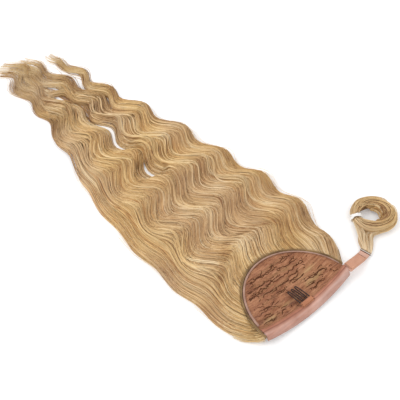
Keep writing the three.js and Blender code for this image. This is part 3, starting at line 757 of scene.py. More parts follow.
def thread_paths(lines, lift):
    """Lines of the plan laid on the cap's face."""
    paths = []
    for line in lines:
        x, y = line[:, 0], line[:, 1]
        back = np.clip(y / CAP_DEPTH, 0.01, 0.97)
        half = CAP_HALF * np.sqrt(1 - back**2)
        across = np.clip(x / half, -0.96, 0.96)
        lean = 1 - CAP_SKEW * across * np.sqrt(1 - back**2)
        bow = CAP_FRONT_BOW * (1 - across**2) * (1 - back) ** 2
        back = np.clip((y + bow) / (CAP_DEPTH * lean), 0.01, 0.97)
        fx, fy, fz = cap_face(across, back)
        paths.append(np.column_stack([fx, fy, fz + lift]))
    return np.array(paths)


def cloth(piece, width, length, held, rests_on, area=None):
    """Takes the flat size that a piece of cloth was cut to, in millimetres, and what it rests on, but keeps
    none of it.
    """
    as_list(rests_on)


def make_threads():
    """Brown thread in pieces of all lengths, its small knots, and long tan threads beside the rows."""
    parts = []
    for seed, count, lengths, wiggle, low, high in BROWN_THREADS:
        lines, rng = thread_lines(seed, count, lengths, wiggle, THREAD_ROWS)
        paths = thread_paths(lines, 0.05)
        stops = np.linspace(0, 1, paths.shape[1])
        taper = 0.4 + 0.6 * np.sin(np.pi * np.clip(stops, 0.04, 0.96)) ** 0.5
        bumpy = 1 + 0.25 * np.sin(stops * 40 + rng.uniform(0, 6, (count, 1)))
        parts.append((paths, rng.uniform(low, high, (count, 1)) * taper * bumpy))
    paths = np.concatenate([part[0] for part in parts])
    radii = np.concatenate([part[1] for part in parts])
    thread_piece("cap_brown_threads", brown_thread, paths, radii, "net", corners=4)
    lines, _ = thread_lines(22, 26, (14, 46), 1.0, [row + 1.2 for row in THREAD_ROWS])
    thread_piece("cap_tan_threads", tan_thread, thread_paths(lines, 0.2), TAN_RADIUS, "net", corners=3)


olive = woven_tape("olive_binding", (0.40, 0.25, 0.10), (0.10, 0.05, 0.018), 0.6, 0.9)
pale_tape = woven_tape("pale_rim_tape", (0.56, 0.36, 0.28), (0.28, 0.145, 0.10), 0.6, 0.8)
salmon = woven_tape("tab_cloth", (0.55, 0.235, 0.125), (0.37, 0.14, 0.07), 0.75, 0.9)
patch_cloth = woven_tape("patch_cloth", (0.74, 0.41, 0.28), (0.60, 0.30, 0.19), 0.75, 0.9)
strap_pink = woven_tape("strap_pink", (0.74, 0.46, 0.36), (0.58, 0.32, 0.235), 0.6, 0.8)


def band_finish():
    """The band's satin: orange-pink at its hem, a darker fold line of painted shade, and the greyer roll
    with a painted highlight and painted shade at its foot.
    """
    made = woven_tape("band_satin", (0.72, 0.45, 0.36), (0.48, 0.255, 0.185), 0.46, 0.7, 0.4, 0.06)
    base = made.shader.inputs["Base Color"].links[0].from_socket
    share = made.value("share")
    # Zones: the hem's own orange-pink, painted shade at the fold line and the foot, and a painted highlight
    # across the roll
    zones = made.ramp(share, [
        (0.0, (0.60, 0.32, 0.18)), (0.22, (0.78, 0.47, 0.30)), (0.30, (0.36, 0.17, 0.10)),
        (0.37, (0.70, 0.48, 0.38)), (0.5, (0.98, 0.84, 0.78)), (0.62, (0.84, 0.66, 0.58)),
        (1.0, (0.66, 0.46, 0.38)),
    ])
    creased = made.noise(made.stretched((30, 260, 260)), detail=3.0)
    lines = made.ramp(made.ranged(creased, 0.3, 0.7), [(0.0, (0.72, 0.66, 0.64)), (1.0, (1.0, 1.0, 1.0))])
    toned = made.sum_colours(made.blend(0.78, base, zones, "MULTIPLY"), lines)
    broken = made.ranged(made.noise(made.stretched((26, 140, 140)), detail=3.0), 0.34, 0.66, 0.1, 1.0)
    # Painted highlight over the roll, broken up
    painted_sheen = made.ramp(share, [
        (0.36, (0, 0, 0)), (0.54, (0.34, 0.34, 0.34)), (0.8, (0.22, 0.22, 0.22)), (1.0, (0.1, 0.1, 0.1)),
    ])
    painted_sheen = made.sum(painted_sheen, broken, "MULTIPLY")
    made.colour(made.blend(painted_sheen, toned, (0.74, 0.60, 0.55)))
    return made.material


BINDING_WIDTH = 2.1
BINDING_HEIGHT = 2.7
BINDING_OUTSIDE = 1.5
BINDING_RISE = 4.4 / 2 - CAP_WALL + SEAM_GAP
FRAY_THREADS = 16
FRAY_RADIUS = 0.13
BINDING_TAIL = [[0, -5.0, -0.4], [0, -3.4, -0.1], [0, -1.7, 0]]
RIM_TAPE_WIDTHS = (2.4, 1.3)
RIM_TAPE_WALL = 0.7
RIM_TAPE_RISE = 1.0 / 2 + SEAM_GAP + 0.5
BAND_WALL = 0.82
HEM_RADIUS = 0.19
TAB_CLEAR = 9.5


def make_binding():
    """The rolled binding round the dome: a soft roll with a whipped surface, and a tail that frays."""
    count = 90
    spots, out = dome_line(np.linspace(-90, 85, count), np.full(count, BINDING_OUTSIDE), BINDING_RISE)
    tail = spots[0] + np.array(BINDING_TAIL)
    middles = np.vstack([tail, spots])
    sides = np.vstack([np.repeat(out[:1], len(tail), axis=0), out])
    even = np.ones(len(middles))
    roll = oval_tube(middles, sides, even * BINDING_WIDTH, even * BINDING_HEIGHT)

    def shape(down, across):
        middle = rows_at(middles, down)
        swell = 1 + 0.09 * np.sin(down * 620 + across * 4 * np.pi) + 0.06 * np.sin(down * 97 + 1)
        return middle + (roll(down, across) - middle) * swell[:, None]

    tube_piece("binding_roll", olive.material, 420, 12, shape, "olive_tape", "edge_binding")
    rng = np.random.default_rng(71)
    t = np.linspace(0, 1, 7)[None, :, None]
    size = (FRAY_THREADS, 1, 3)
    lean = rng.normal(0, 1, size) * [0.8, 0.5, 0.5] + [-0.3, -1.9, -0.8]
    ends = tail[0] + rng.normal(0, 0.45, size) + [0, 0.9, 0]
    curl = rng.normal(0, 0.35, size) * np.sin(t * 3.0)
    frayed = ends + lean * t * rng.uniform(0.5, 1.0, (FRAY_THREADS, 1, 1)) + curl
    thread_piece("binding_fray", fray_thread, frayed, FRAY_RADIUS, "olive_tape", corners=3)


def ribbon_shape(frame_at, widths, thickness, ripple):
    """A flat ribbon with soft edges along a line, with its width at both ends."""
    def shape(down, across):
        wide, high = flat_section(across, mix(*widths, down), thickness, 0.35, 0.75)
        high = high + ripple(down, wide)
        middle, side, up = frame_at(down)
        return middle + side * wide[:, None] + up * high[:, None]

    return shape


def make_rim_tape():
    """The pale tape inside the binding."""
    count = 80
    spots, out = dome_line(np.linspace(-82.5, 82.5, count), np.linspace(-1.25, -0.9, count), RIM_TAPE_RISE)

    def frame_at(down):
        return rows_at(spots, down), rows_at(out, down), UPWARDS

    def ripple(down, wide):
        return 0.09 * np.sin(down * 230 + wide)

    shape = ribbon_shape(frame_at, RIM_TAPE_WIDTHS, RIM_TAPE_WALL, ripple)
    tube_piece("rim_tape_strip", pale_tape.material, 260, 12, shape, "pink_tape", "rim_tape")


# Front band's section: how far forward of the cap's edge, and how far above the cap's face
BAND_LINE = np.array([
    [-4.0, 1.9], [-3.0, 2.05], [-1.4, 2.1], [-0.4, 2.05], [0.6, 2.0], [2.0, 1.72], [3.4, 1.05],
    [4.7, -0.2], [5.6, -1.8], [6.3, -3.5], [6.8, -5.0], [7.0, -6.0],
])


def band_middle(across, share):
    """The middle of the front band's wall: across from -1 to 1, and a share from its hem to its foot."""
    stops = np.linspace(0, 1, len(BAND_LINE))
    narrowed = mix(1.0, 0.82, ease((across + 0.2) / 1.2) * ease(1 - share * 1.5))
    forward = np.interp(share, stops, BAND_LINE[:, 0]) * narrowed
    rise = np.interp(share, stops, BAND_LINE[:, 1])
    x, y = cap_spot(across, np.zeros_like(across))
    sag = 0.5 * field(31, 0.35, 1.0)(across, share) * ease(share * 1.5)
    return np.column_stack([x, y - forward, cap_level(x, y * 0) + rise + sag * 0.6])


def make_band():
    """Satin tape folded over the cap's front edge, whose outer face rolls down."""
    def share_at(down, across):
        return 0.5 - 0.5 * np.cos(2 * np.pi * across)

    def shape(down, across):
        far = 2 * down - 1
        share = np.clip(share_at(down, across), 0, 1)
        before, after = (band_middle(far, np.clip(share + step, 0, 1)) for step in (-0.01, 0.01))
        normal = unit(np.cross([1.0, 0, 0], unit(after - before)))
        side = np.sin(2 * np.pi * across)
        thick = np.abs(side) ** 0.5 * np.sign(side) * BAND_WALL
        return band_middle(far, share) - normal * thick[:, None]

    band = tube_piece("front_band_tape", band_finish(), 130, 46, shape, "pink_tape", "front_band",
                      values={"share": share_at})
    cloth(band, 17, 123, "folded", ["cap_net"])


def make_band_stitches():
    """Small tan stitches that hold the band's hem down."""
    lines = []
    for middle in np.linspace(-0.93, 0.93, 54):
        if abs(middle) * CAP_HALF < TAB_CLEAR:
            continue
        far = middle + np.linspace(-0.011, 0.011, 5)
        spots = band_middle(far, np.full(5, 0.045 + 0.012 * math.sin(middle * 40)))
        rise = BAND_WALL + 0.2 * np.sin(np.linspace(0, np.pi, 5))
        lines.append(spots + UPWARDS * rise[:, None])
    thread_piece("band_hem_stitches", tan_thread, lines, HEM_RADIUS, "pink_tape")


make_cap()
make_threads()
make_binding()
make_rim_tape()
make_band()
make_band_stitches()

# Hair fall

drift_of = field(41, 0.22, 0.22)
phase_of = field(42, 0.34, 0.16)
swing_of = field(43, 0.5, 0.25)
lift_of = field(44, 0.10, 0.14)


def waves_passed(place):
    """How many waves lie before a place down the hair."""
    return -np.log(1 - WAVE_SHORTENING * place / WAVE_LENGTH_AT_CAP) / WAVE_SHORTENING


def waves_at(place):
    return waves_passed(place) - waves_passed(FIRST_CREST)


def wave_steps(begin, finish, count):
    """Shares of the hair's length between two of them, closer together where the waves are shorter."""
    first, last = waves_passed(begin * HAIR_LENGTH), waves_passed(finish * HAIR_LENGTH)
    passed = mix(first, last, np.linspace(0, 1, count))
    return (1 - np.exp(-passed * WAVE_SHORTENING)) * WAVE_LENGTH_AT_CAP / WAVE_SHORTENING / HAIR_LENGTH


def fall_at(share, column):
    """A value of the hair's outline or loft at a share of its length."""
    return np.interp(share, FALL[:, 0], FALL[:, column])


def hair_line(across, down, phase, swing=1.0):
    """Where hair lies: its x, its place down from the cap, its height there, and the light and shade painted
    on it.
    """
    turn = np.clip(across, -1, 1) * np.pi / 2
    root_y = CAP_DEPTH * np.cos(turn) * (1 - CAP_SKEW * np.sin(turn))
    root_x = CAP_HALF * np.sin(turn)
    place = mix(root_y, HAIR_LENGTH, down)
    share = place / HAIR_LENGTH
    far = across * HAIR_SPREAD * np.where(across < 0, fall_at(share, 1), fall_at(share, 2))
    from_root = place - root_y
    out = np.clip(from_root / (ROOT_BLEND * 1.25), 0, 1)
    wave = 2 * np.pi * waves_at(place - CREST_TILT * far) + phase
    inner = 1 - np.clip(np.abs(across), 0, 1) ** 4
    waved = ease(from_root / mix(WAVE_ONSET, 34, inner))
    calm = 1 - 0.75 * ease((-across - 0.5) / 0.35) * ease((0.75 - share) / 0.15)
    slit = ease((share - 0.36) / 0.1) * hump(across, 0, 0.22)
    wide = mix(1.0, INNER_SWING, inner * mix(1.0, 0.35, ease((share - 0.2) / 0.5)))
    swung = WAVE_SWING * mix(wide, 0.95, slit) * calm * swing * waved
    x = mix(root_x, far, 1 - (1 - out) ** 2) + swung * np.cos(wave)
    rise = mix(ROOT_LOFT, 1, ease(from_root / ROOT_RISE))
    heave = 1 + 0.1 * waved * np.cos(wave + 1)
    ridge = hump(across, -0.15, 0.55)
    loft = HAIR_LOFT * fall_at(share, 3) * heave * rise + 3.0 * ridge * hump(from_root, 30, 7)
    # Painted light: highlight bands on one side of each wave, a painted highlight over the ridge near the
    # cap, painted shade in the crease behind the ridge, and a painted highlight by the root.
    light = 0.9 * waved * np.sin(wave) + 2.6 * ridge * hump(from_root, 27, 7)
    light = light - 4.2 * ridge * hump(from_root, 38, 3.5) + 1.2 * ease(1 - from_root / 26)
    return x, place, loft, light


def from_slit(across, tress):
    return (across - INNER_EDGES[tress]) * tress


def slit_width(place):
    """How wide the slit stands open at a place down the hair, in millimetres."""
    wide = 0
    for spot, half, width in SLIT_OPENINGS:
        wide = wide + width * np.exp(-(((place - spot) / half) ** 4) * 2)
    return wide


def true_place(down):
    """Millimetres from the cap's front edge for hair that leaves the top of the dome."""
    return mix(CAP_DEPTH, HAIR_LENGTH, down)


def parted(across, down, tress):
    """How far the slit between the two tresses draws the hair beside it away."""
    place = true_place(down)
    spread = HAIR_SPREAD * fall_at(place / HAIR_LENGTH, 2)
    edge = (SLIT_MIDDLE + tress * (slit_width(place) / 2 - 0.8)) / spread
    near = ease(1 - from_slit(across, tress) / 0.42)
    return (edge - INNER_EDGES[tress]) * near * ease((place - 190) / 45)


def hair_top(across, down, loft, tress):
    """The hair's height: rounded at the outline's sides, and at the slit where it is open."""
    shoulder = np.sqrt(np.maximum(0, 1 - np.clip(np.abs(across), 0, 0.995) ** 6))
    opened = ease((true_place(down) - 180) / 50)
    stands_open = np.clip(slit_width(true_place(down)) / 4.5, 0, 1)
    low = mix(0.5, 0.12, stands_open)
    lip = mix(low, 1.0, ease(from_slit(across, tress) / mix(0.1, 0.3, stands_open)))
    return loft * shoulder * mix(1.0, lip, opened)


def hair_bed():
    """The body of the hair under its top strands, a closed skin for each tress."""
    for tress, name in ((-1, "hair_body_left"), (1, "hair_body_right")):
        low, high = TRESS_SPANS[tress]
        middle = mix(low, high, 0.5)

        def round_share(across):
            """Share across the tress, out over its top and back under it."""
            over = np.where(across < BED_TURN, across / BED_TURN, (1 - across) / (1 - BED_TURN))
            return 0.5 - 0.5 * np.cos(np.pi * np.clip(over, 0, 1))

        def spot(down, across):
            """Shares across the hair and down it."""
            steps = wave_steps(0, BED_END, 60)
            return mix(low, high, round_share(across)), rows_at(steps, down)[:, 0]

        def shape(down, across):
            a, y = spot(down, across)
            over = round_share(across)
            full = ease((BED_END - y) / 0.14)
            wide = mix(middle, a + parted(a, y, tress), mix(0.45, 0.985, full))
            x, place, loft, _ = hair_line(wide, y, lock_phase(a, y, tress), 1 + 0.2 * swing_of(a, y))
            top = hair_top(a, y, loft, tress) * mix(0.2, 1, full) - mix(2.2, BED_DEPTH, ease(y / 0.16))
            top = top + lift_of(a, y) + lock_relief(a, y) * full
            upper = np.minimum(np.maximum(top, 0.8), cap_room(x, place))
            z = np.where(across < BED_TURN, upper, 0.3)
            z = mix(0.3, z, ease(np.minimum(over, 1 - over) / 0.004))
            return np.column_stack([x, place, z])

        def flow_across(down, across):
            a, y = spot(down, across)
            return a * HAIR_SPREAD * mix(0.75, 1, ease((0.5 - y) / 0.4))

        def flow_down(down, across):
            return spot(down, across)[1] * HAIR_LENGTH

        # The painted light and shade of the waves, for the bed's colour
        def light_at(down, across):
            a, y = spot(down, across)
            return hair_line(a + parted(a, y, tress), y, lock_phase(a, y, tress))[3]

        values = {"flow_across": flow_across, "flow_down": flow_down, "light": light_at}
        tube_piece(name, hair_deep, 160, 104, shape, "hair", "hair_fall", values=values)


def cap_room(x, place):
    """The highest that hair may reach under the cap, and no limit away from it."""
    across = x / CAP_HALF
    back = place / (CAP_DEPTH * (1 - CAP_SKEW * np.clip(across, -1, 1)))
    edge = np.sqrt(across**2 + np.maximum(back, 0) ** 2)
    outside = (edge - 1) * 60
    under = cap_level(np.clip(x, -CAP_HALF, CAP_HALF), np.clip(place, 0, CAP_DEPTH)) - CAP_WALL - 0.5
    return np.where(outside < 1.2, under, np.where(outside < 2.8, under + 1.1, 99.0))


def own_value(number, factor):
    """A steady value from -1 to 1 that belongs to a lock or clump by its number."""
    value = np.sin(number * factor) * 43758.5453
    return (value - np.floor(value)) * 2 - 1


def counted(across, share):
    """A place counted in locks or clumps of that share of the hair's half spread, from left of them all."""
    return (across + COUNTED_FROM) / share


def lock_relief(across, down):
    """The hair's surface over its locks: rounded, and sunk where two of them meet."""
    place = counted(across + 0.05 * drift_of(across, down), LOCK_SHARE)
    off_middle = (place - np.floor(place)) * 2 - 1
    deep = 0.55 + 0.45 * own_value(np.floor(place), 5.31)
    return -1.0 * deep * off_middle**4


def lock_phase(across, down, tress):
    """How far the waves of neighbouring locks run ahead of each other, and not beside the open slit."""
    place = counted(across, LOCK_SHARE * 1.6)
    number = np.floor(place)
    share = ease((place - number - 0.3) / 0.4)
    own = mix(own_value(number, 3.17), own_value(number + 1, 3.17), share)
    free = 1 - ease(1.25 - from_slit(across, tress) / 0.3) * ease((true_place(down) - 190) / 40)
    return mix(SLIT_PHASE, 0.8 * phase_of(across, down) + 0.35 * own, free)


def hair_piece(name, paths, radii, tones):
    """Strands of hair that pass under the cap."""
    paths[..., 2] = np.minimum(paths[..., 2], cap_room(paths[..., 0], paths[..., 1]) - UNDER_CAP)
    thread_piece(name, hair_strand, paths, radii, "hair", tones=tones, corners=3)


def fall_strands(name, seed, count, low, high, tress, steps=69):
    """Strands of one tress that run from the binding to a tip lock, gathered in small clumps."""
    draw = Draws(np.random.default_rng(seed), count)
    start = np.sort(draw.between(low + 0.004, high - 0.004), axis=0)
    depth = draw.share() ** 1.3
    number = np.floor(counted(start, CLUMP_SHARE))
    clump_middle = (number + 0.5) * CLUMP_SHARE - COUNTED_FROM
    own = own_value(number, 12.9898)
    other = own_value(number, 78.233)
    lock_own = own_value(np.floor(counted(start, LOCK_SHARE)), 3.71)
    # Strands share out over the tip locks in the order that they lie in
    locks = [row for row in TIP_LINES if row[0] == tress]
    left, right = TRESS_SPANS[tress]
    order = ((start - left) / (right - left) + draw.near(0.035)) * len(locks)
    which = np.clip(np.floor(order), 0, len(locks) - 1).astype(int)
    in_lock = np.clip((order - which) * 2 - 1, -1, 1)
    # Some strands are cut short, so that the tips thin out
    short = draw.share() < 0.42
    reach = np.where(short, draw.between(0.72, 0.92), draw.between(0.88, 1.02))
    shares = wave_steps(0, 1, steps)[None, :]
    y = shares * reach
    gather = 0.4 + 0.3 * np.sin(y * 14 + own * 9)
    across = mix(start, clump_middle, gather * ease(y * 9))
    across = across + 0.02 * drift_of(across, y) * ease(y * 4) + 0.01 * own * np.sin(y * 9 + other * 3)
    across = across + draw.near(0.003) * np.sin(y * draw.between(5, 16) + own)
    across = np.clip(across, low, high)
    free = 1 - ease(1.1 - from_slit(across, tress) / 0.3) * ease((true_place(y) - 180) / 45)
    phase = lock_phase(across, y, tress) + (0.16 * own * ease(y * 3) + draw.near(0.07)) * free
    swing = 1 + (0.2 * swing_of(across, y) + 0.1 * other) * free
    x, place, loft, light = hair_line(across + parted(across, y, tress), y, phase, swing)
    off_middle = (start - clump_middle) / (CLUMP_SHARE / 2)
    z = hair_top(across, y, loft, tress) + lift_of(across, y) + lock_relief(across, y)
    z = z - 0.35 * off_middle**2 - depth * 1.3 + 0.35 * own
    # Hair leaves from under the binding
    z = mix(np.minimum(z, UNDER_BINDING), z, ease(y / SEAT_IN_BINDING))
    # Towards the tips it follows the line of its own lock
    at = np.clip((place - TIPS_FROM) / (HAIR_LENGTH - TIPS_FROM), 0, 1)
    guides = np.array([guide_line(row[4], 40) for row in locks])[which[:, 0]]
    tip = np.array([rows_at(line, row) for row, line in zip(at, guides)])
    heading = unit(np.gradient(tip, axis=1) + [0, 1e-4])
    sizes = np.array([row[1:4] for row in locks])[which[:, 0]]
    half = mix(sizes[:, 0:1], sizes[:, 1:2], at)
    loose = np.where(draw.share() < 0.18, 2.4, 1.0)
    stray = draw.near(1) * at**2 * 2.8 * loose
    stray = stray + draw.near(1) * 1.1 * ease(at * 3) * np.sin(at * draw.between(2, 9) + own * 3)
    stray = stray + 1.9 * ease(at * 2.5) * np.sin(at * 9 + own * 6)
    off = in_lock * half * mix(1, 0.75 + 0.25 * np.cos(at * 11 + lock_own * 3), ease(at * 3)) + stray
    wave = 2 * np.pi * waves_at(place) + phase + 0.5 * lock_own * ease(at * 3)
    off = off + WAVE_SWING * mix(0.95, 0.6, at) * np.cos(wave) * ease((1.04 - at) / 0.2)
    tip_top = sizes[:, 2:3] * np.sqrt(np.clip(1 - in_lock**2 * 0.8, 0.08, 1)) * mix(1, 0.25, at)
    tip_z = tip_top * (1 - 0.75 * depth) + (1.1 * np.sin(at * 9 + own * 3) + 0.8 * other) * (1 - at)
    share = ease((place - TIPS_FROM - 4) / 46)
    x = mix(x, tip[..., 0] + heading[..., 1] * off, share)
    place = mix(place, tip[..., 1] - heading[..., 0] * off, share)
    radius = draw.between(*STRAND_RADII) * mix(1.0, 0.4, np.clip((shares - 0.82) / 0.18, 0, 1))
    z = np.maximum(mix(z, tip_z, share), radius + LEAST_GAP)
    # Painted shade darkens deeper strands, and at the tips the strands at the edges of their lock
    tone = 0.56 + 0.09 * own + 0.07 * lock_own + draw.near(0.14) - (0.18 + 0.26 * share) * depth
    tone = tone + share * (0.09 * own_value(which, 7.7) - 0.13 * in_lock**2)
    tone = tone + draw.near(0.13) * (1 - ease(y * 5))
    odd = draw.share()
    tone = tone - 0.26 * (odd < 0.13) + 0.15 * (odd > 0.9)
    # Painted shade on the tress on the right where the slit closes, and on the swirl at the tips
    if tress > 0:
        tone = tone - 0.42 * ease(1 - from_slit(across, tress) / 0.12) * hump(place, 372, 16)
    tone = tone - 0.45 * hump(x, -4, 7) * hump(place, 473, 6) * (0.5 + depth)
    # Painted light and shade of the waves, and paler tips
    tone = tone + LIGHT_SHARE * mix(light, 1.1 * np.sin(wave), share) + (0.44 * at**3 + 0.08) * share
    hair_piece(name, np.stack([x, place, z], axis=-1), radius, np.clip(tone, 0.02, 1))


def guide_line(spots, count):
    """Evenly spaced points of a smooth line through a few spots."""
    line = smoothed(np.array(spots, float), 2)
    for _ in range(3):
        fine = np.empty((len(line) * 2 - 1, 2))
        fine[::2] = line
        fine[1::2] = (line[:-1] + line[1:]) / 2
        line = smoothed(fine, 1)
    far = np.concatenate([[0], np.cumsum(np.linalg.norm(np.diff(line, axis=0), axis=1))])
    stops = np.linspace(0, far[-1], count)
    return np.column_stack([np.interp(stops, far, line[:, 0]), np.interp(stops, far, line[:, 1])])


def over_locks(name, seed, count, per_lock, steps=36):
    """Locks that slip across their neighbours on top of the hair, with both ends tucked in."""
    rng = np.random.default_rng(seed)
    draw = Draws(rng, per_lock)
    t = np.linspace(0, 1, steps)[None, :]
    tucked = ease(np.minimum(t, 1 - t) / 0.2)
    lines, sizes, tones = [], [], []
    for _ in range(count):
        tress = -1 if rng.random() < 0.55 else 1
        low, high = (-0.97, -0.14) if tress < 0 else (0.02, 0.94)
        middle = mix(low, high, rng.random() ** (1.5 if tress < 0 else 1.0))
        begin = rng.uniform(0.03, 0.5)
        finish = min(begin + rng.uniform(0.14, 0.34), 0.72)
        shift = rng.uniform(-0.13, 0.13)
        off_phase = rng.uniform(-0.6, 0.6)
        size = rng.uniform(0.008, 0.026)
        tone = rng.normal(0.74, 0.08)
        y = mix(begin, finish, t)
        offsets = draw.near(0.5)
        around = draw.share()
        across = middle + shift * (t - 0.5) + offsets * size * (0.5 + 0.5 * np.cos((t - 0.5) * 5))
        across = np.clip(across, low - 0.03, high + 0.03)
        phase = lock_phase(across, y, tress) + off_phase * np.sin(np.pi * t) + draw.near(0.05)
        swing = 1 + 0.2 * swing_of(across, y) + rng.uniform(-0.1, 0.1)
        x, place, loft, light = hair_line(across + parted(across, y, tress), y, phase, swing)
        z = hair_top(across, y, loft, tress) + lift_of(across, y) + mix(-2.2, 0.9, tucked)
        lines.append(np.stack([x, place, z - 0.5 * offsets**2 + around * 0.5], axis=-1))
        sizes.append(draw.between(*STRAND_RADII))
        # Each lock's tone takes the painted light and shade of the waves
        tones.append(np.clip(tone + draw.near(0.08) + LIGHT_SHARE * light, 0.1, 1))
    hair_piece(name, np.concatenate(lines), np.concatenate(sizes), np.concatenate(tones))


def flyaways(name, seed, count, steps=24):
    """Single fine hairs that lift off the surface and stand out past the outline."""
    draw = Draws(np.random.default_rng(seed), count)
    side = np.where(draw.share() < 0.6, -1.0, 1.0)
    edge = draw.share() < 0.55
    middle = side * np.where(edge, draw.between(0.86, 1.0), draw.between(0.1, 0.9))
    begin = draw.between(0.04, 0.55)
    t = np.linspace(0, 1, steps)[None, :]
    y = begin + draw.between(0.08, 0.22) * t
    across = middle + draw.near(0.05) * (t - 0.3) + np.where(edge, side * 0.035, 0) * np.sin(np.pi * t)
    phase = 0.6 * phase_of(across, y) + draw.near(0.8) * t
    x, place, loft, _ = hair_line(np.clip(across, -1.05, 1.05), y, phase, draw.between(0.4, 1.2))
    top = loft * np.sqrt(np.maximum(0.02, 1 - np.clip(np.abs(across), 0, 0.99) ** 6))
    lifted = mix(-1.5, draw.between(0.6, 2.2), np.sin(np.pi * np.clip(t * 1.15, 0, 1)))
    paths = np.stack([x, place, np.maximum(top + lift_of(across, y) + lifted, 0.5)], axis=-1)
    hair_piece(name, paths, draw.between(*FLYAWAY_RADII), draw.between(0.55, 0.95))


def corner_wisps(name, seed, count, steps=20):
    """Thin pale hair that curves out from under the binding near the cap's corner and joins the outline."""
    rng = np.random.default_rng(seed)
    draw = Draws(rng, count)
    t = np.linspace(0, 1, steps)[None, :, None]
    stray = rng.normal(0, 1, (count, 1, 2))
    up_the_edge = draw.share() ** 1.3
    corner, first, second, last = (
        mix(np.array(near), np.array(far), up_the_edge[..., None]) + stray * spread
        for near, far, spread in WISP_SPOTS
    )
    line = corner * (1 - t) ** 3 + 3 * first * t * (1 - t) ** 2 + 3 * second * t**2 * (1 - t) + last * t**3
    z = mix(draw.between(3, 10.8), draw.between(1.0, 6), ease(t[..., 0] * 1.3))
    radius = draw.between(*WISP_RADII) * (1.1 - 0.4 * t[..., 0])
    tones = draw.between(0.62, 1.0) - 0.24 * ease(up_the_edge * 2)
    hair_piece(name, np.concatenate([line, z[..., None]], axis=-1), radius, tones)


def tip_shade_strands(name, seed, per_lock, steps=26):
    """Low strands at the bottom of the tip locks and under the place where the slit closes, given dark tones
    as painted shade.
    """
    rng = np.random.default_rng(seed)
    t = np.linspace(0, 1, steps)
    lines, sizes, tones = [], [], []
    for number, (tress, begin, tip, loft, spots) in enumerate([*TIP_LINES, (0, 5.0, 5.0, 4.0, SLIT_CLOSES)]):
        line = guide_line(spots, 60)
        if tress:
            line = line[line[:, 1] >= 350][: int(60 * 0.86)]
        middle = rows_at(line, t)
        heading = unit(np.gradient(middle, axis=0))
        draw = Draws(rng, per_lock if tress else per_lock * 2)
        off = draw.between(-1, 1) * mix(begin, tip, t)[None, :] * 0.8
        wave = 2 * np.pi * waves_at(middle[:, 1])[None, :] + SLIT_PHASE
        off = off + WAVE_SWING * (0.8 if tress else 0.0) * mix(0.95, 0.6, t) * np.cos(wave)
        off = off + draw.near(0.8) * np.sin(t * 7 + number)
        x = middle[:, 0] + heading[:, 1] * off
        y = middle[:, 1] - heading[:, 0] * off
        z = draw.between(0.7, loft * 0.3) * mix(1.0, 0.4, t)
        lines.append(np.stack([x, y, z], axis=-1))
        sizes.append(draw.between(*DEEP_RADII) * mix(1.0, 0.35, t**3))
        # Painted shade: these strands are given very dark tones
        tones.append(draw.between(0.06, 0.34))
    hair_piece(name, np.concatenate(lines), np.concatenate(sizes), np.concatenate(tones))


# Comb and its tab

SPINE_Y = -2.2
SPINE_Z = 12.6
SPINE_HALF = 7.5
COMB_REACH = 23
LOOP_MIDDLES = (-5.0, 0.0, 5.0)
LOOP_HALF = 1.55
COMB_WIRE = 0.68
SPINE_WIRE = 0.88
BINDING_WIRE = 0.16
WINDING_RADIUS = 1.05
SEWING_RADIUS = 0.2
comb_coat = Finish("comb_coat", 0.42, Specular_IOR_Level=0.32, Coat_Weight=0.06, Coat_Roughness=0.3)
comb_shade = comb_coat.noise(comb_coat.stretched((300, 300, 300)), detail=2.0)
comb_coat.colour(comb_coat.ramp(comb_shade, [(0.3, (0.020, 0.007, 0.005)), (0.75, (0.060, 0.026, 0.02))]))
comb_coat.bump(comb_shade, 0.05)


def comb_level(y):
    return mix(SPINE_Z, SPINE_Z - COMB_REACH * 0.12, (y - SPINE_Y) / COMB_REACH)


def make_comb():
    """Three wire loops, a spine, the fine wire that binds the loops to it, and the comb's sewing."""
    def wire_piece(name, material, lines, radius, corners, *nodes):
        thread_piece(name, material, lines, radius, "comb_wire", *nodes, corners=corners, bake_columns=1)

    loops = []
    for middle in LOOP_MIDDLES:
        shares = np.linspace(0, 1, 46)
        leg = np.minimum(shares, 1 - shares) * 2
        straight = np.clip(leg / 0.93, 0, 1)
        bend = np.clip((leg - 0.93) / 0.07, 0, 1) * np.pi / 2
        x = middle + np.sign(shares - 0.5) * LOOP_HALF * np.cos(bend) * mix(1.0, 0.72, straight**2)
        y = SPINE_Y + (COMB_REACH - LOOP_HALF) * straight + LOOP_HALF * np.sin(bend)
        loops.append(np.column_stack([x, y, comb_level(y) + 0.5 * np.sin(straight * np.pi)]))
    wire_piece("comb_wires", comb_coat.material, smoothed(np.array(loops), 3), COMB_WIRE, 10, "comb")
    spine = [[x, SPINE_Y, SPINE_Z] for x in np.linspace(-SPINE_HALF, SPINE_HALF, 12)]
    wire_piece("comb_spine", comb_coat.material, [spine], SPINE_WIRE, 12)
    angle = np.linspace(0, 2 * np.pi, 14)
    y, z = SPINE_Y + WINDING_RADIUS * np.cos(angle), SPINE_Z + WINDING_RADIUS * np.sin(angle)
    winding = np.column_stack([angle * 0.05, y, z])
    turns = [winding + [start, 0, 0] for start in np.linspace(-6.9, 6.6, 14)]
    wire_piece("comb_binding_wire", comb_coat.material, turns, BINDING_WIRE, 5)
    lines = []
    for y, x_from, x_to, bow in ((2.6, -10.5, 8.6, 0.6), (3.6, -9.5, 8.0, -0.5)):
        x = np.linspace(x_from, x_to, 30)
        over = 1.0 - np.clip(np.abs(x) / 8.2, 0, 1) ** 6
        edge_z = cap_level(x, np.full(30, y)) + 1.0
        z = mix(edge_z, comb_level(y) + 1.15 + 0.12 * np.cos(x * 2.1), over)
        lines.append(np.column_stack([x, y + bow * np.sin(x * 0.3), z]))
    wire_piece("comb_sewing", brown_thread, lines, SEWING_RADIUS, 5)


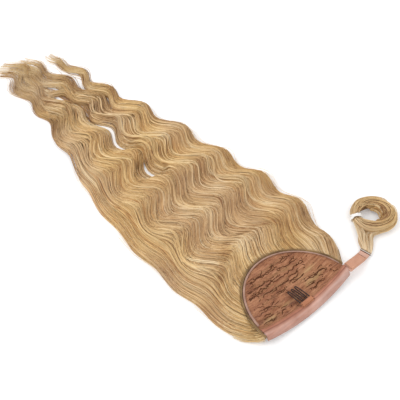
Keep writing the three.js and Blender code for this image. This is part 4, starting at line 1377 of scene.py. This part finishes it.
# The tab's section from the band over the spine: y and z
TAB_LINE = np.array([
    [-5.6, 12.05], [-4.4, 12.15], [-3.75, 12.7], [-3.6, 13.4], [-3.2, 14.0], [-2.4, 14.28],
    [-1.6, 14.2], [-0.9, 13.95], [-0.35, 13.72],
])
TAB_WIDTH = 16.6
TAB_WALL = 0.95
TAB_CROWN = 0.1
TAB_STITCH = 0.27


def make_tab():
    """The cloth tab that is folded over the comb's spine and sewn to the band."""
    line = smoothed(TAB_LINE, 1)
    ahead = unit(np.gradient(line, axis=0))

    def shape(down, across):
        wide, high = flat_section(across, TAB_WIDTH, TAB_WALL, 0.3, 0.8)
        middle, slope = rows_at(line, down), rows_at(ahead, down)
        lift = high + TAB_CROWN * np.cos(wide / TAB_WIDTH * np.pi) * np.sin(np.pi * down)
        y = middle[:, 0] - slope[:, 1] * lift
        z = middle[:, 1] + slope[:, 0] * lift
        return np.column_stack([wide, y, z])

    tube_piece("comb_tab_cloth", salmon.material, 60, 28, shape, "hook_tape", "comb_tab")
    lines = []
    for x in np.linspace(-7.4, 7.4, 9):
        lines.append([[x - 0.55, -4.9, 12.5], [x, -4.9, 12.72], [x + 0.55, -4.9, 12.5]])
    for y, z in ((-4.2, 12.75), (-2.9, 14.5), (-1.7, 14.7)):
        for x in (-7.5, 7.5):
            lines.append([[x, y - 0.45, z - 0.1], [x, y, z + 0.1], [x, y + 0.45, z - 0.05]])
    thread_piece("comb_tab_stitches", brown_thread, lines, TAB_STITCH, "hook_tape")


# Strap

STRAP_LENGTH = 36
STRAP_START = np.array([60.8, 13.5])
STRAP_END = np.array([96.8, 3.3])
STRAP_WIDTH = 11.8
STRAP_WALL = 1.45
PATCH_WIDTH = 11.2
PATCH_WALL = 1.1
PATCH_LIFT = 1.7
PATCH_BEGIN = 1.5 / STRAP_LENGTH
PATCH_END = 28.5 / STRAP_LENGTH
PATCH_STITCH = 0.15
END_STITCH = 0.2
HOOK_RADIUS = 0.09
HOOK_AHEAD = np.array([0, 0.002, 0.008, 0.012])
HOOK_RISE = np.array([0.45, 0.85, 0.95, 0.62])
hook_loops = thread_finish("hook_loops", (0.62, 0.33, 0.22), (0.80, 0.50, 0.36))


def strap_spot(share):
    share = np.asarray(share, float)
    x = mix(STRAP_START[0], STRAP_END[0], share)
    y = mix(-2.0, 3.0, np.maximum(share, 0) ** 1.5)
    z = mix(STRAP_START[1], STRAP_END[1], ease(share))
    return np.stack([x, y, z], axis=-1)


def strap_frame(share):
    ahead = unit(strap_spot(share + 0.005) - strap_spot(share - 0.005))
    side = unit(np.stack([ahead[:, 1], -ahead[:, 0], 0 * ahead[:, 0]], axis=-1))
    return ahead, side, np.cross(side, ahead)


def on_strap(shares, wide, rise):
    """Spots over the strap: that far along it, to its side and above its middle."""
    _, sideways, up = strap_frame(shares)
    return strap_spot(shares) + sideways * np.reshape(wide, (-1, 1)) + up * np.reshape(rise, (-1, 1))


def strap_strip(name, material, begin, end, width, thickness, lift, ripple, slot, node):
    """A strip of cloth along the strap, between two shares of its length."""
    def frame_at(down):
        share = mix(begin, end, down)
        _, side, up = strap_frame(share)
        return on_strap(share, 0, lift), side, up

    shape = ribbon_shape(frame_at, (width, width), thickness, ripple)
    return tube_piece(name, material, 90, 28, shape, slot, node)


def make_strap():
    """The strap, its patch of hook tape, and the patch's stitches and hooks."""
    def strap_ripple(down, wide):
        return 0.12 * np.sin(down * 17 + 0.4) * np.cos(wide * 0.3) + 0.05 * np.sin(down * 60 + wide)

    def patch_ripple(down, wide):
        return 0.05 * np.sin(down * 30 + 1)

    strap = strap_strip("strap_tape", strap_pink.material, 0.0, 1.0, STRAP_WIDTH, STRAP_WALL, 0.0,
                        strap_ripple, "pink_tape", "wrap_strap")
    cloth(strap, 11.8, 38, "laid", ["front_band_tape", "weft_cord_white"])
    patch = strap_strip("hook_patch_tape", patch_cloth.material, PATCH_BEGIN, PATCH_END, PATCH_WIDTH,
                        PATCH_WALL, PATCH_LIFT, patch_ripple, "hook_tape", "hook_patch")
    cloth(patch, 11.2, 28, "laid", ["strap_tape"])
    begin, end, count = PATCH_BEGIN + 0.01, PATCH_END - 0.02, 18
    rise = PATCH_LIFT + 0.5 + 0.16 * np.sin(np.linspace(0, np.pi, 5))
    stitch = (end - begin) / count * 0.62
    stitches = [np.linspace(share, share + stitch, 5) for share in np.linspace(begin, end, count)]
    for name, wide in (("patch_stitches_inner", 5.1), ("patch_stitches_outer", -5.1)):
        lines = [on_strap(spots, wide, rise) for spots in stitches]
        thread_piece(name, tan_thread, lines, PATCH_STITCH, "hook_tape")
    hooks = []
    for share in np.linspace(PATCH_BEGIN + 0.03, PATCH_END - 0.03, 22):
        for wide in np.linspace(-3.9, 3.9, 9):
            hooks.append(on_strap(share + HOOK_AHEAD, wide, PATCH_LIFT + HOOK_RISE))
    thread_piece("patch_hooks", hook_loops, hooks, HOOK_RADIUS, "hook_tape", corners=3)
    wide = np.linspace(-4.6, 4.6, 10)
    rise = PATCH_LIFT + 0.58 + 0.1 * np.cos(np.arange(10) * np.pi)
    bars = [on_strap(np.full(10, share), wide, rise) for share in (PATCH_BEGIN + 0.012, PATCH_END - 0.012)]
    thread_piece("patch_end_stitches", brown_thread, bars, END_STITCH, "hook_tape")


strap_heading = unit((strap_spot(np.array([1.0])) - strap_spot(np.array([0.99]))) * [1, 1, 0])[0]
weft_side = np.array([strap_heading[1], -strap_heading[0], 0])
weft_middle = strap_spot(np.array([1.0]))[0] + strap_heading * (SEAM_GAP + 1.3)
# Cords of the weft: name, thread, place along the strap, rise, radius and node
WEFT_CORDS = [
    ("weft_cord_near", brown_thread, -0.75, 0.25, 0.5, []),
    ("weft_cord_white", white_thread, 0.0, 0.55, 0.52, ["lock_weft"]),
    ("weft_cord_far", brown_thread, 0.75, 0.25, 0.5, []),
    ("weft_cord_under", brown_thread, 0.0, -0.65, 0.6, []),
]


def make_lock_weft():
    """Stitched cords across the strap's end: dark, white and dark, and one under them."""
    wide = np.linspace(-6.4, 6.4, 40)
    for name, material, ahead, rise, radius, nodes in WEFT_CORDS:
        line = weft_middle + strap_heading * ahead + UPWARDS * rise + weft_side * wide[:, None]
        swell = radius * (1 + 0.16 * np.cos(wide * 5.2 + ahead))
        thread_piece(name, material, [line], swell, "olive_tape", *nodes, corners=8, bake_columns=1)


# Wrap lock

NECK_HEADING = np.array([math.cos(math.radians(40)), math.sin(math.radians(40)), 0])
NECK_SIDE = np.array([NECK_HEADING[1], -NECK_HEADING[0], 0])
neck_start = weft_middle + strap_heading * (1.3 + SEAM_GAP)
neck_end = (neck_start + NECK_HEADING * 25) * [1, 1, 0]
TURN_LEVELS = (4.75, 10.9)
TIE_LEVEL = 7.83
COIL_TOP = 15.6
COIL_CORE = 0.74
TIE_SIDE = np.array([math.cos(math.radians(TIE_ANGLE)), math.sin(math.radians(TIE_ANGLE)), 0])
TIE_ALONG = np.array([-TIE_SIDE[1], TIE_SIDE[0], 0])
TIE_HUB = np.array([*COIL_CENTRE, TIE_LEVEL]) + TIE_SIDE * COIL_RADIUS
TIE_REACH = 6.6
TIE_RISE = 5.5
# Rounds of the elastic: name, place along the coil, size and node
TIE_ROUNDS = [
    ("tie_round_near", -1.5, 0.8, ["lock_tie"]), ("tie_round_middle", 0.1, 1.0, []),
    ("tie_round_far", 1.6, 0.85, []),
]


def pinch_at(degrees):
    """How far the tie draws the coil in, from 0 to 1."""
    away = np.abs((degrees - TIE_ANGLE + 540) % 360 - 180)
    return 1 - ease(away / TIE_PULL)


def coil_spot(degrees, out, rise, turn):
    """A spot in the coil: its turning, how far out and up it is inside a turn, and which turn."""
    drawn = pinch_at(degrees)
    narrow = mix(1.0, TIE_PINCH, drawn)
    level = mix(TURN_LEVELS[0], TURN_LEVELS[1], turn)
    level = mix(level, TIE_LEVEL, drawn * (1 - TIE_PINCH))
    width = mix(1.12, 1.0, turn) * TURN_WIDTH / 2 * narrow
    height = mix(1.0, 0.9, turn) * TURN_HEIGHT / 2 * narrow
    radius = COIL_RADIUS + mix(0.06, -0.05, turn) * TURN_WIDTH + out * width
    around = np.radians(degrees)
    # The coil lies a little flattened, as an oval
    short = radius * np.cos(around - SQUASH_WAY) * COIL_SQUASH
    return np.stack([
        COIL_CENTRE[0] + radius * np.cos(around) - short * math.cos(SQUASH_WAY),
        COIL_CENTRE[1] + radius * np.sin(around) - short * math.sin(SQUASH_WAY),
        level + rise * height,
    ], axis=-1)


def neck_sides(shares):
    """Directions across the neck, which turns from across the weft into its own."""
    return unit(mix(weft_side, NECK_SIDE, ease(shares * 2)[:, None]))


def make_coil_body():
    """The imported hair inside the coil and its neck."""
    for turn, name in ((0.0, "coil_body_lower"), (1.0, "coil_body_upper")):
        def shape(down, across):
            angle = across * 2 * np.pi
            return coil_spot(down * 360, COIL_CORE * np.cos(angle), COIL_CORE * np.sin(angle), turn)

        tube_piece(name, coil_gap_shade.material, 90, 20, shape, "hair", "wrap_lock", ring=True)
    shares = np.array([0.0, 0.2, 0.45, 0.75, 1.0, 1.15])
    widths = np.array([0.74, 0.9, 1.05, 1.2, 1.1, 0.9]) * TURN_WIDTH * 0.8
    heights = np.array([0.28, 0.44, 0.6, 0.74, 0.8, 0.7]) * TURN_HEIGHT * 0.72
    middles = neck_start + (neck_end - neck_start) * shares[:, None]
    middles[:, 2] = np.maximum(mix(neck_start[2], TURN_LEVELS[0], np.clip(shares, 0, 1)), heights / 2 + 0.3)
    shape = oval_tube(middles, neck_sides(shares), widths, heights)
    tube_piece("neck_body", neck_deep.material, 40, 20, shape, "hair")


def small_lock(middle, sizes, count, rng, twist, tone):
    """Strands of one small lock, packed round its middle line and slowly turning about it."""
    steps = len(middle)
    draw = Draws(rng, count)
    side, up = sides_of(middle)
    seat = draw.between(0, 2 * np.pi) + twist * np.linspace(0, 1, steps)
    out = np.sqrt(draw.share()) * (1 + 0.08 * draw.near(1) * np.sin(np.linspace(0, 9, steps)))
    reach = (out * sizes)[..., None]
    paths = middle + reach * (np.cos(seat)[..., None] * side + np.sin(seat)[..., None] * up)
    # The lower and outer strands of a lock get painted shade, and its upper strands painted light
    tones = tone + draw.near(0.09) + 0.2 * np.sin(seat) * out - 0.14 * out**2
    return paths, tones


LOCK_STEPS = 52
# Locks of the coil: start and sweep, seat outwards and up at both ends, size, shade and strands
# Low shades of the locks on the inner wall and of the two thin dark locks at the end are painted shade in
# the coil
RING_LOCKS = [
    (152, 205, (0.25, 0.85), (0.75, 0.55), 2.7, 0.80, 24),
    (154, 190, (-0.45, 0.9), (0.2, 0.85), 2.4, 0.66, 20),
    (150, 150, (0.9, 0.1), (1.0, 0.0), 2.4, 0.54, 16),
    (146, -170, (0.1, 0.95), (0.65, 0.6), 2.6, 0.80, 22),
    (146, -200, (-0.5, 0.75), (-0.3, 0.8), 2.3, 0.62, 20),
    (148, -150, (0.8, 0.3), (0.95, 0.2), 2.4, 0.60, 16),
    (108, -150, (-0.3, 0.95), (-1.3, -0.2), 1.9, 0.84, 14),
    (80, -150, (-1.05, 0.1), (-1.3, -0.6), 2.2, 0.30, 14),
    (40, -150, (-1.0, 0.3), (-1.25, -0.3), 2.1, 0.36, 12),
    (300, 170, (0.5, 0.75), (-0.2, 0.95), 2.4, 0.72, 16),
    (10, 150, (0.85, 0.35), (0.3, 0.9), 2.5, 0.62, 16),
    (230, 140, (-0.8, 0.4), (-0.9, 0.2), 2.2, 0.50, 12),
    (62, -124, (-1.45, -0.6), (-1.55, -0.9), 2.0, 0.64, 12),
    (2, -66, (-0.98, 0.62), (-1.0, 0.5), 1.6, 0.04, 8),
    (110, -46, (-0.2, 0.92), (0.1, 0.95), 1.0, 0.12, 5),
]
# Locks that swell out over the top of the neck, in the same order of values
CROSSING_LOCKS = [
    (150, 150, (0.70, 0.75), (0.9, 0.45), 2.1, 0.74, 16),
    (152, 128, (0.95, 0.35), (1.0, 0.15), 2.1, 0.62, 14),
]
CROSSING_ANGLE = 214
# Locks of the neck: seat across it and shade
NECK_LANES = [
    (-0.95, 0.78), (-0.72, 0.92), (-0.45, 0.66), (-0.2, 0.88), (0.05, 0.50), (0.3, 0.92),
    (0.55, 0.96), (0.78, 0.80), (0.97, 0.90), (-0.35, 0.96), (0.2, 0.70), (0.6, 0.98),
]
NECK_STEPS = 18
NECK_STOPS = [0, 0.2, 0.45, 0.75, 1]


def coil_locks():
    """Locks that leave the weft, widen into the neck and wind round, and the locks of the coil over them."""
    rng = np.random.default_rng(61)
    lines, tones, thick = [], [], []

    def keep(middle, sizes, count, twist, tone):
        made, shade = small_lock(middle, sizes, count, rng, twist, tone)
        lines.append(made)
        tones.append(shade)
        thick.append(rng.uniform(*COIL_RADII, (count, 1)) * np.ones(LOCK_STEPS))

    s = np.linspace(0, 1, NECK_STEPS)
    half_width = np.interp(s, NECK_STOPS, [5.3, 6.4, 7.8, 8.4, 7.4])
    half_height = np.interp(s, NECK_STOPS, [0.9, 1.7, 2.5, 3.2, 3.0])
    level = np.maximum(mix(neck_start[2], TURN_LEVELS[0], s), half_height + 0.4)
    winding = np.zeros(LOCK_STEPS - NECK_STEPS)
    for number, (lane, shade) in enumerate(NECK_LANES):
        crossing = 0.55 if number in (4, 10) else 0.3
        place = lane * (1 - 0.25 * s) + crossing * np.sin(s * 2.6 + number * 1.7) * s
        high = np.sqrt(np.maximum(0.05, 1 - np.clip(place, -1, 1) ** 2)) * (1.0 if number < 9 else 1.2)
        neck = neck_start + (neck_end - neck_start) * s[:, None]
        neck[:, 2] = level + high * half_height * mix(1.0, 0.6, s)
        neck = neck + neck_sides(s) * (place * half_width - 3.2 * ease(s * 1.3))[:, None]
        turning = -1 if lane < 0.1 else 1
        phi = 207 + lane * 12 + turning * np.linspace(20, rng.uniform(150, 260), len(winding))
        seat = rng.uniform(-0.3, 0.7) + winding
        around = coil_spot(phi, 0.7 * np.cos(seat), 0.7 * np.sin(seat), winding)
        middle = smoothed(np.vstack([neck, around]), 16)
        sizes = np.interp(np.linspace(0, 1, LOCK_STEPS), [0, 0.12, 0.3, 0.85, 1], [0.9, 2.0, 2.6, 2.4, 0.6])
        keep(middle, sizes, 10, rng.uniform(0.8, 2.2), shade + 0.07)
    t = np.linspace(0, 1, LOCK_STEPS)
    tucked = ease(np.minimum(t, 1 - t) / 0.1)
    dip = mix(0.35, 0.86, tucked)
    for row in RING_LOCKS + CROSSING_LOCKS:
        start, sweep, first, last, size, shade, count = row
        angles = start + sweep * t
        out, rise = mix(first[0], last[0], t), mix(first[1], last[1], t)
        if row in CROSSING_LOCKS:
            out = out + 0.42 * hump(angles, CROSSING_ANGLE, 26)
        middle = coil_spot(angles, out * dip, rise * dip, np.full(LOCK_STEPS, 0.8))
        keep(middle, size * mix(0.5, 1.0, tucked), count, rng.uniform(0.6, 1.8) * rng.choice([-1, 1]), shade)
    paths, radii = np.concatenate(lines), np.concatenate(thick)
    from_middle = paths[..., :2] - COIL_CENTRE
    squeeze = pinch_at(np.degrees(np.arctan2(from_middle[..., 1], from_middle[..., 0])))
    near = hump(np.linalg.norm(paths - TIE_HUB, axis=-1), 0, 11) * squeeze
    paths = paths + (TIE_HUB - paths) * (0.26 * near)[..., None] * (1 - np.abs(TIE_ALONG))
    paths[..., 2] = np.clip(paths[..., 2], radii + LEAST_GAP, COIL_TOP)
    hair_piece("lock_hair", paths, radii, np.clip(np.concatenate(tones), 0.05, 1))
    t = np.linspace(0, 1, 26)
    wisps = []
    for _ in range(22):
        phi = rng.uniform(0, 360) + rng.uniform(60, 150) * t
        seat = rng.uniform(0.1, 1.8) + rng.normal(0, 0.7) * t
        reach = 0.95 + 0.2 * t * rng.random()
        wisps.append(coil_spot(phi, reach * np.cos(seat), reach * np.sin(seat), np.full(26, 0.9)))
    hair_piece("coil_flyaways", np.array(wisps), COIL_FLYAWAY_RADIUS, rng.uniform(0.6, 0.9, 22))


def make_tie():
    """The small translucent elastic that holds the coil."""
    rubber = Finish("clear_elastic", 0.4, Specular_IOR_Level=0.5, Sheen_Weight=0.2)
    milk = rubber.noise(rubber.stretched((400, 400, 400)), detail=2.0)
    rubber.colour(rubber.ramp(milk, [(0.3, (0.80, 0.77, 0.73)), (0.7, (0.93, 0.92, 0.90))]))
    for name, shift, size, nodes in TIE_ROUNDS:
        def shape(down, across):
            angle, turn = 2 * np.pi * down, 2 * np.pi * across
            wobble = 0.45 * np.sin(angle * 2 + shift) + 0.25 * np.sin(angle * 5 + shift * 3)
            fat = size * (1 + 0.18 * np.sin(angle * 9 + shift * 5))
            reach = TIE_REACH + fat * np.cos(turn) + 0.3 * np.sin(angle * 3 + shift)
            rise = TIE_RISE + fat * np.cos(turn)
            spot = TIE_HUB + TIE_SIDE * (reach * np.cos(angle))[:, None]
            spot = spot + UPWARDS * (rise * np.sin(angle))[:, None]
            return spot + TIE_ALONG * (shift + wobble + fat * np.sin(turn))[:, None]

        tube_piece(name, rubber.material, 72, 12, shape, "elastic", *nodes, ring=True)


def packed_hair(name, dark, light):
    """Packed hair seen between the strands of the coil."""
    made = Finish(name, 0.5, Specular_IOR_Level=0.25)
    streak = made.noise(made.stretched((260, 260, 900)), detail=3.0)
    made.colour(made.ramp(streak, [(0.3, dark), (0.7, light)]))
    made.bump(streak, 0.5)
    return made


# The coil's packed hair is far darker than its strands: painted shade in the gaps between them
coil_gap_shade = packed_hair("coil_gap_shade", (0.15, 0.065, 0.025), (0.40, 0.23, 0.10))
neck_deep = packed_hair("neck_deep", (0.30, 0.17, 0.07), (0.60, 0.40, 0.20))

make_comb()
make_tab()
make_strap()
make_lock_weft()
make_coil_body()
coil_locks()
make_tie()

hair_bed()
fall_strands("hair_left_outer", 51, 350, -1.0, -0.45, -1)
fall_strands("hair_left_inner", 55, 310, -0.45, -0.02, -1)
fall_strands("hair_right_inner", 52, 340, -0.1, 0.42, 1)
fall_strands("hair_right_outer", 53, 340, 0.42, 1.0, 1)
over_locks("hair_over", 54, 34, 9)
flyaways("hair_flyaways", 56, 110)
corner_wisps("corner_wisps", 57, 120)
tip_shade_strands("hair_tip_shade", 58, 12)
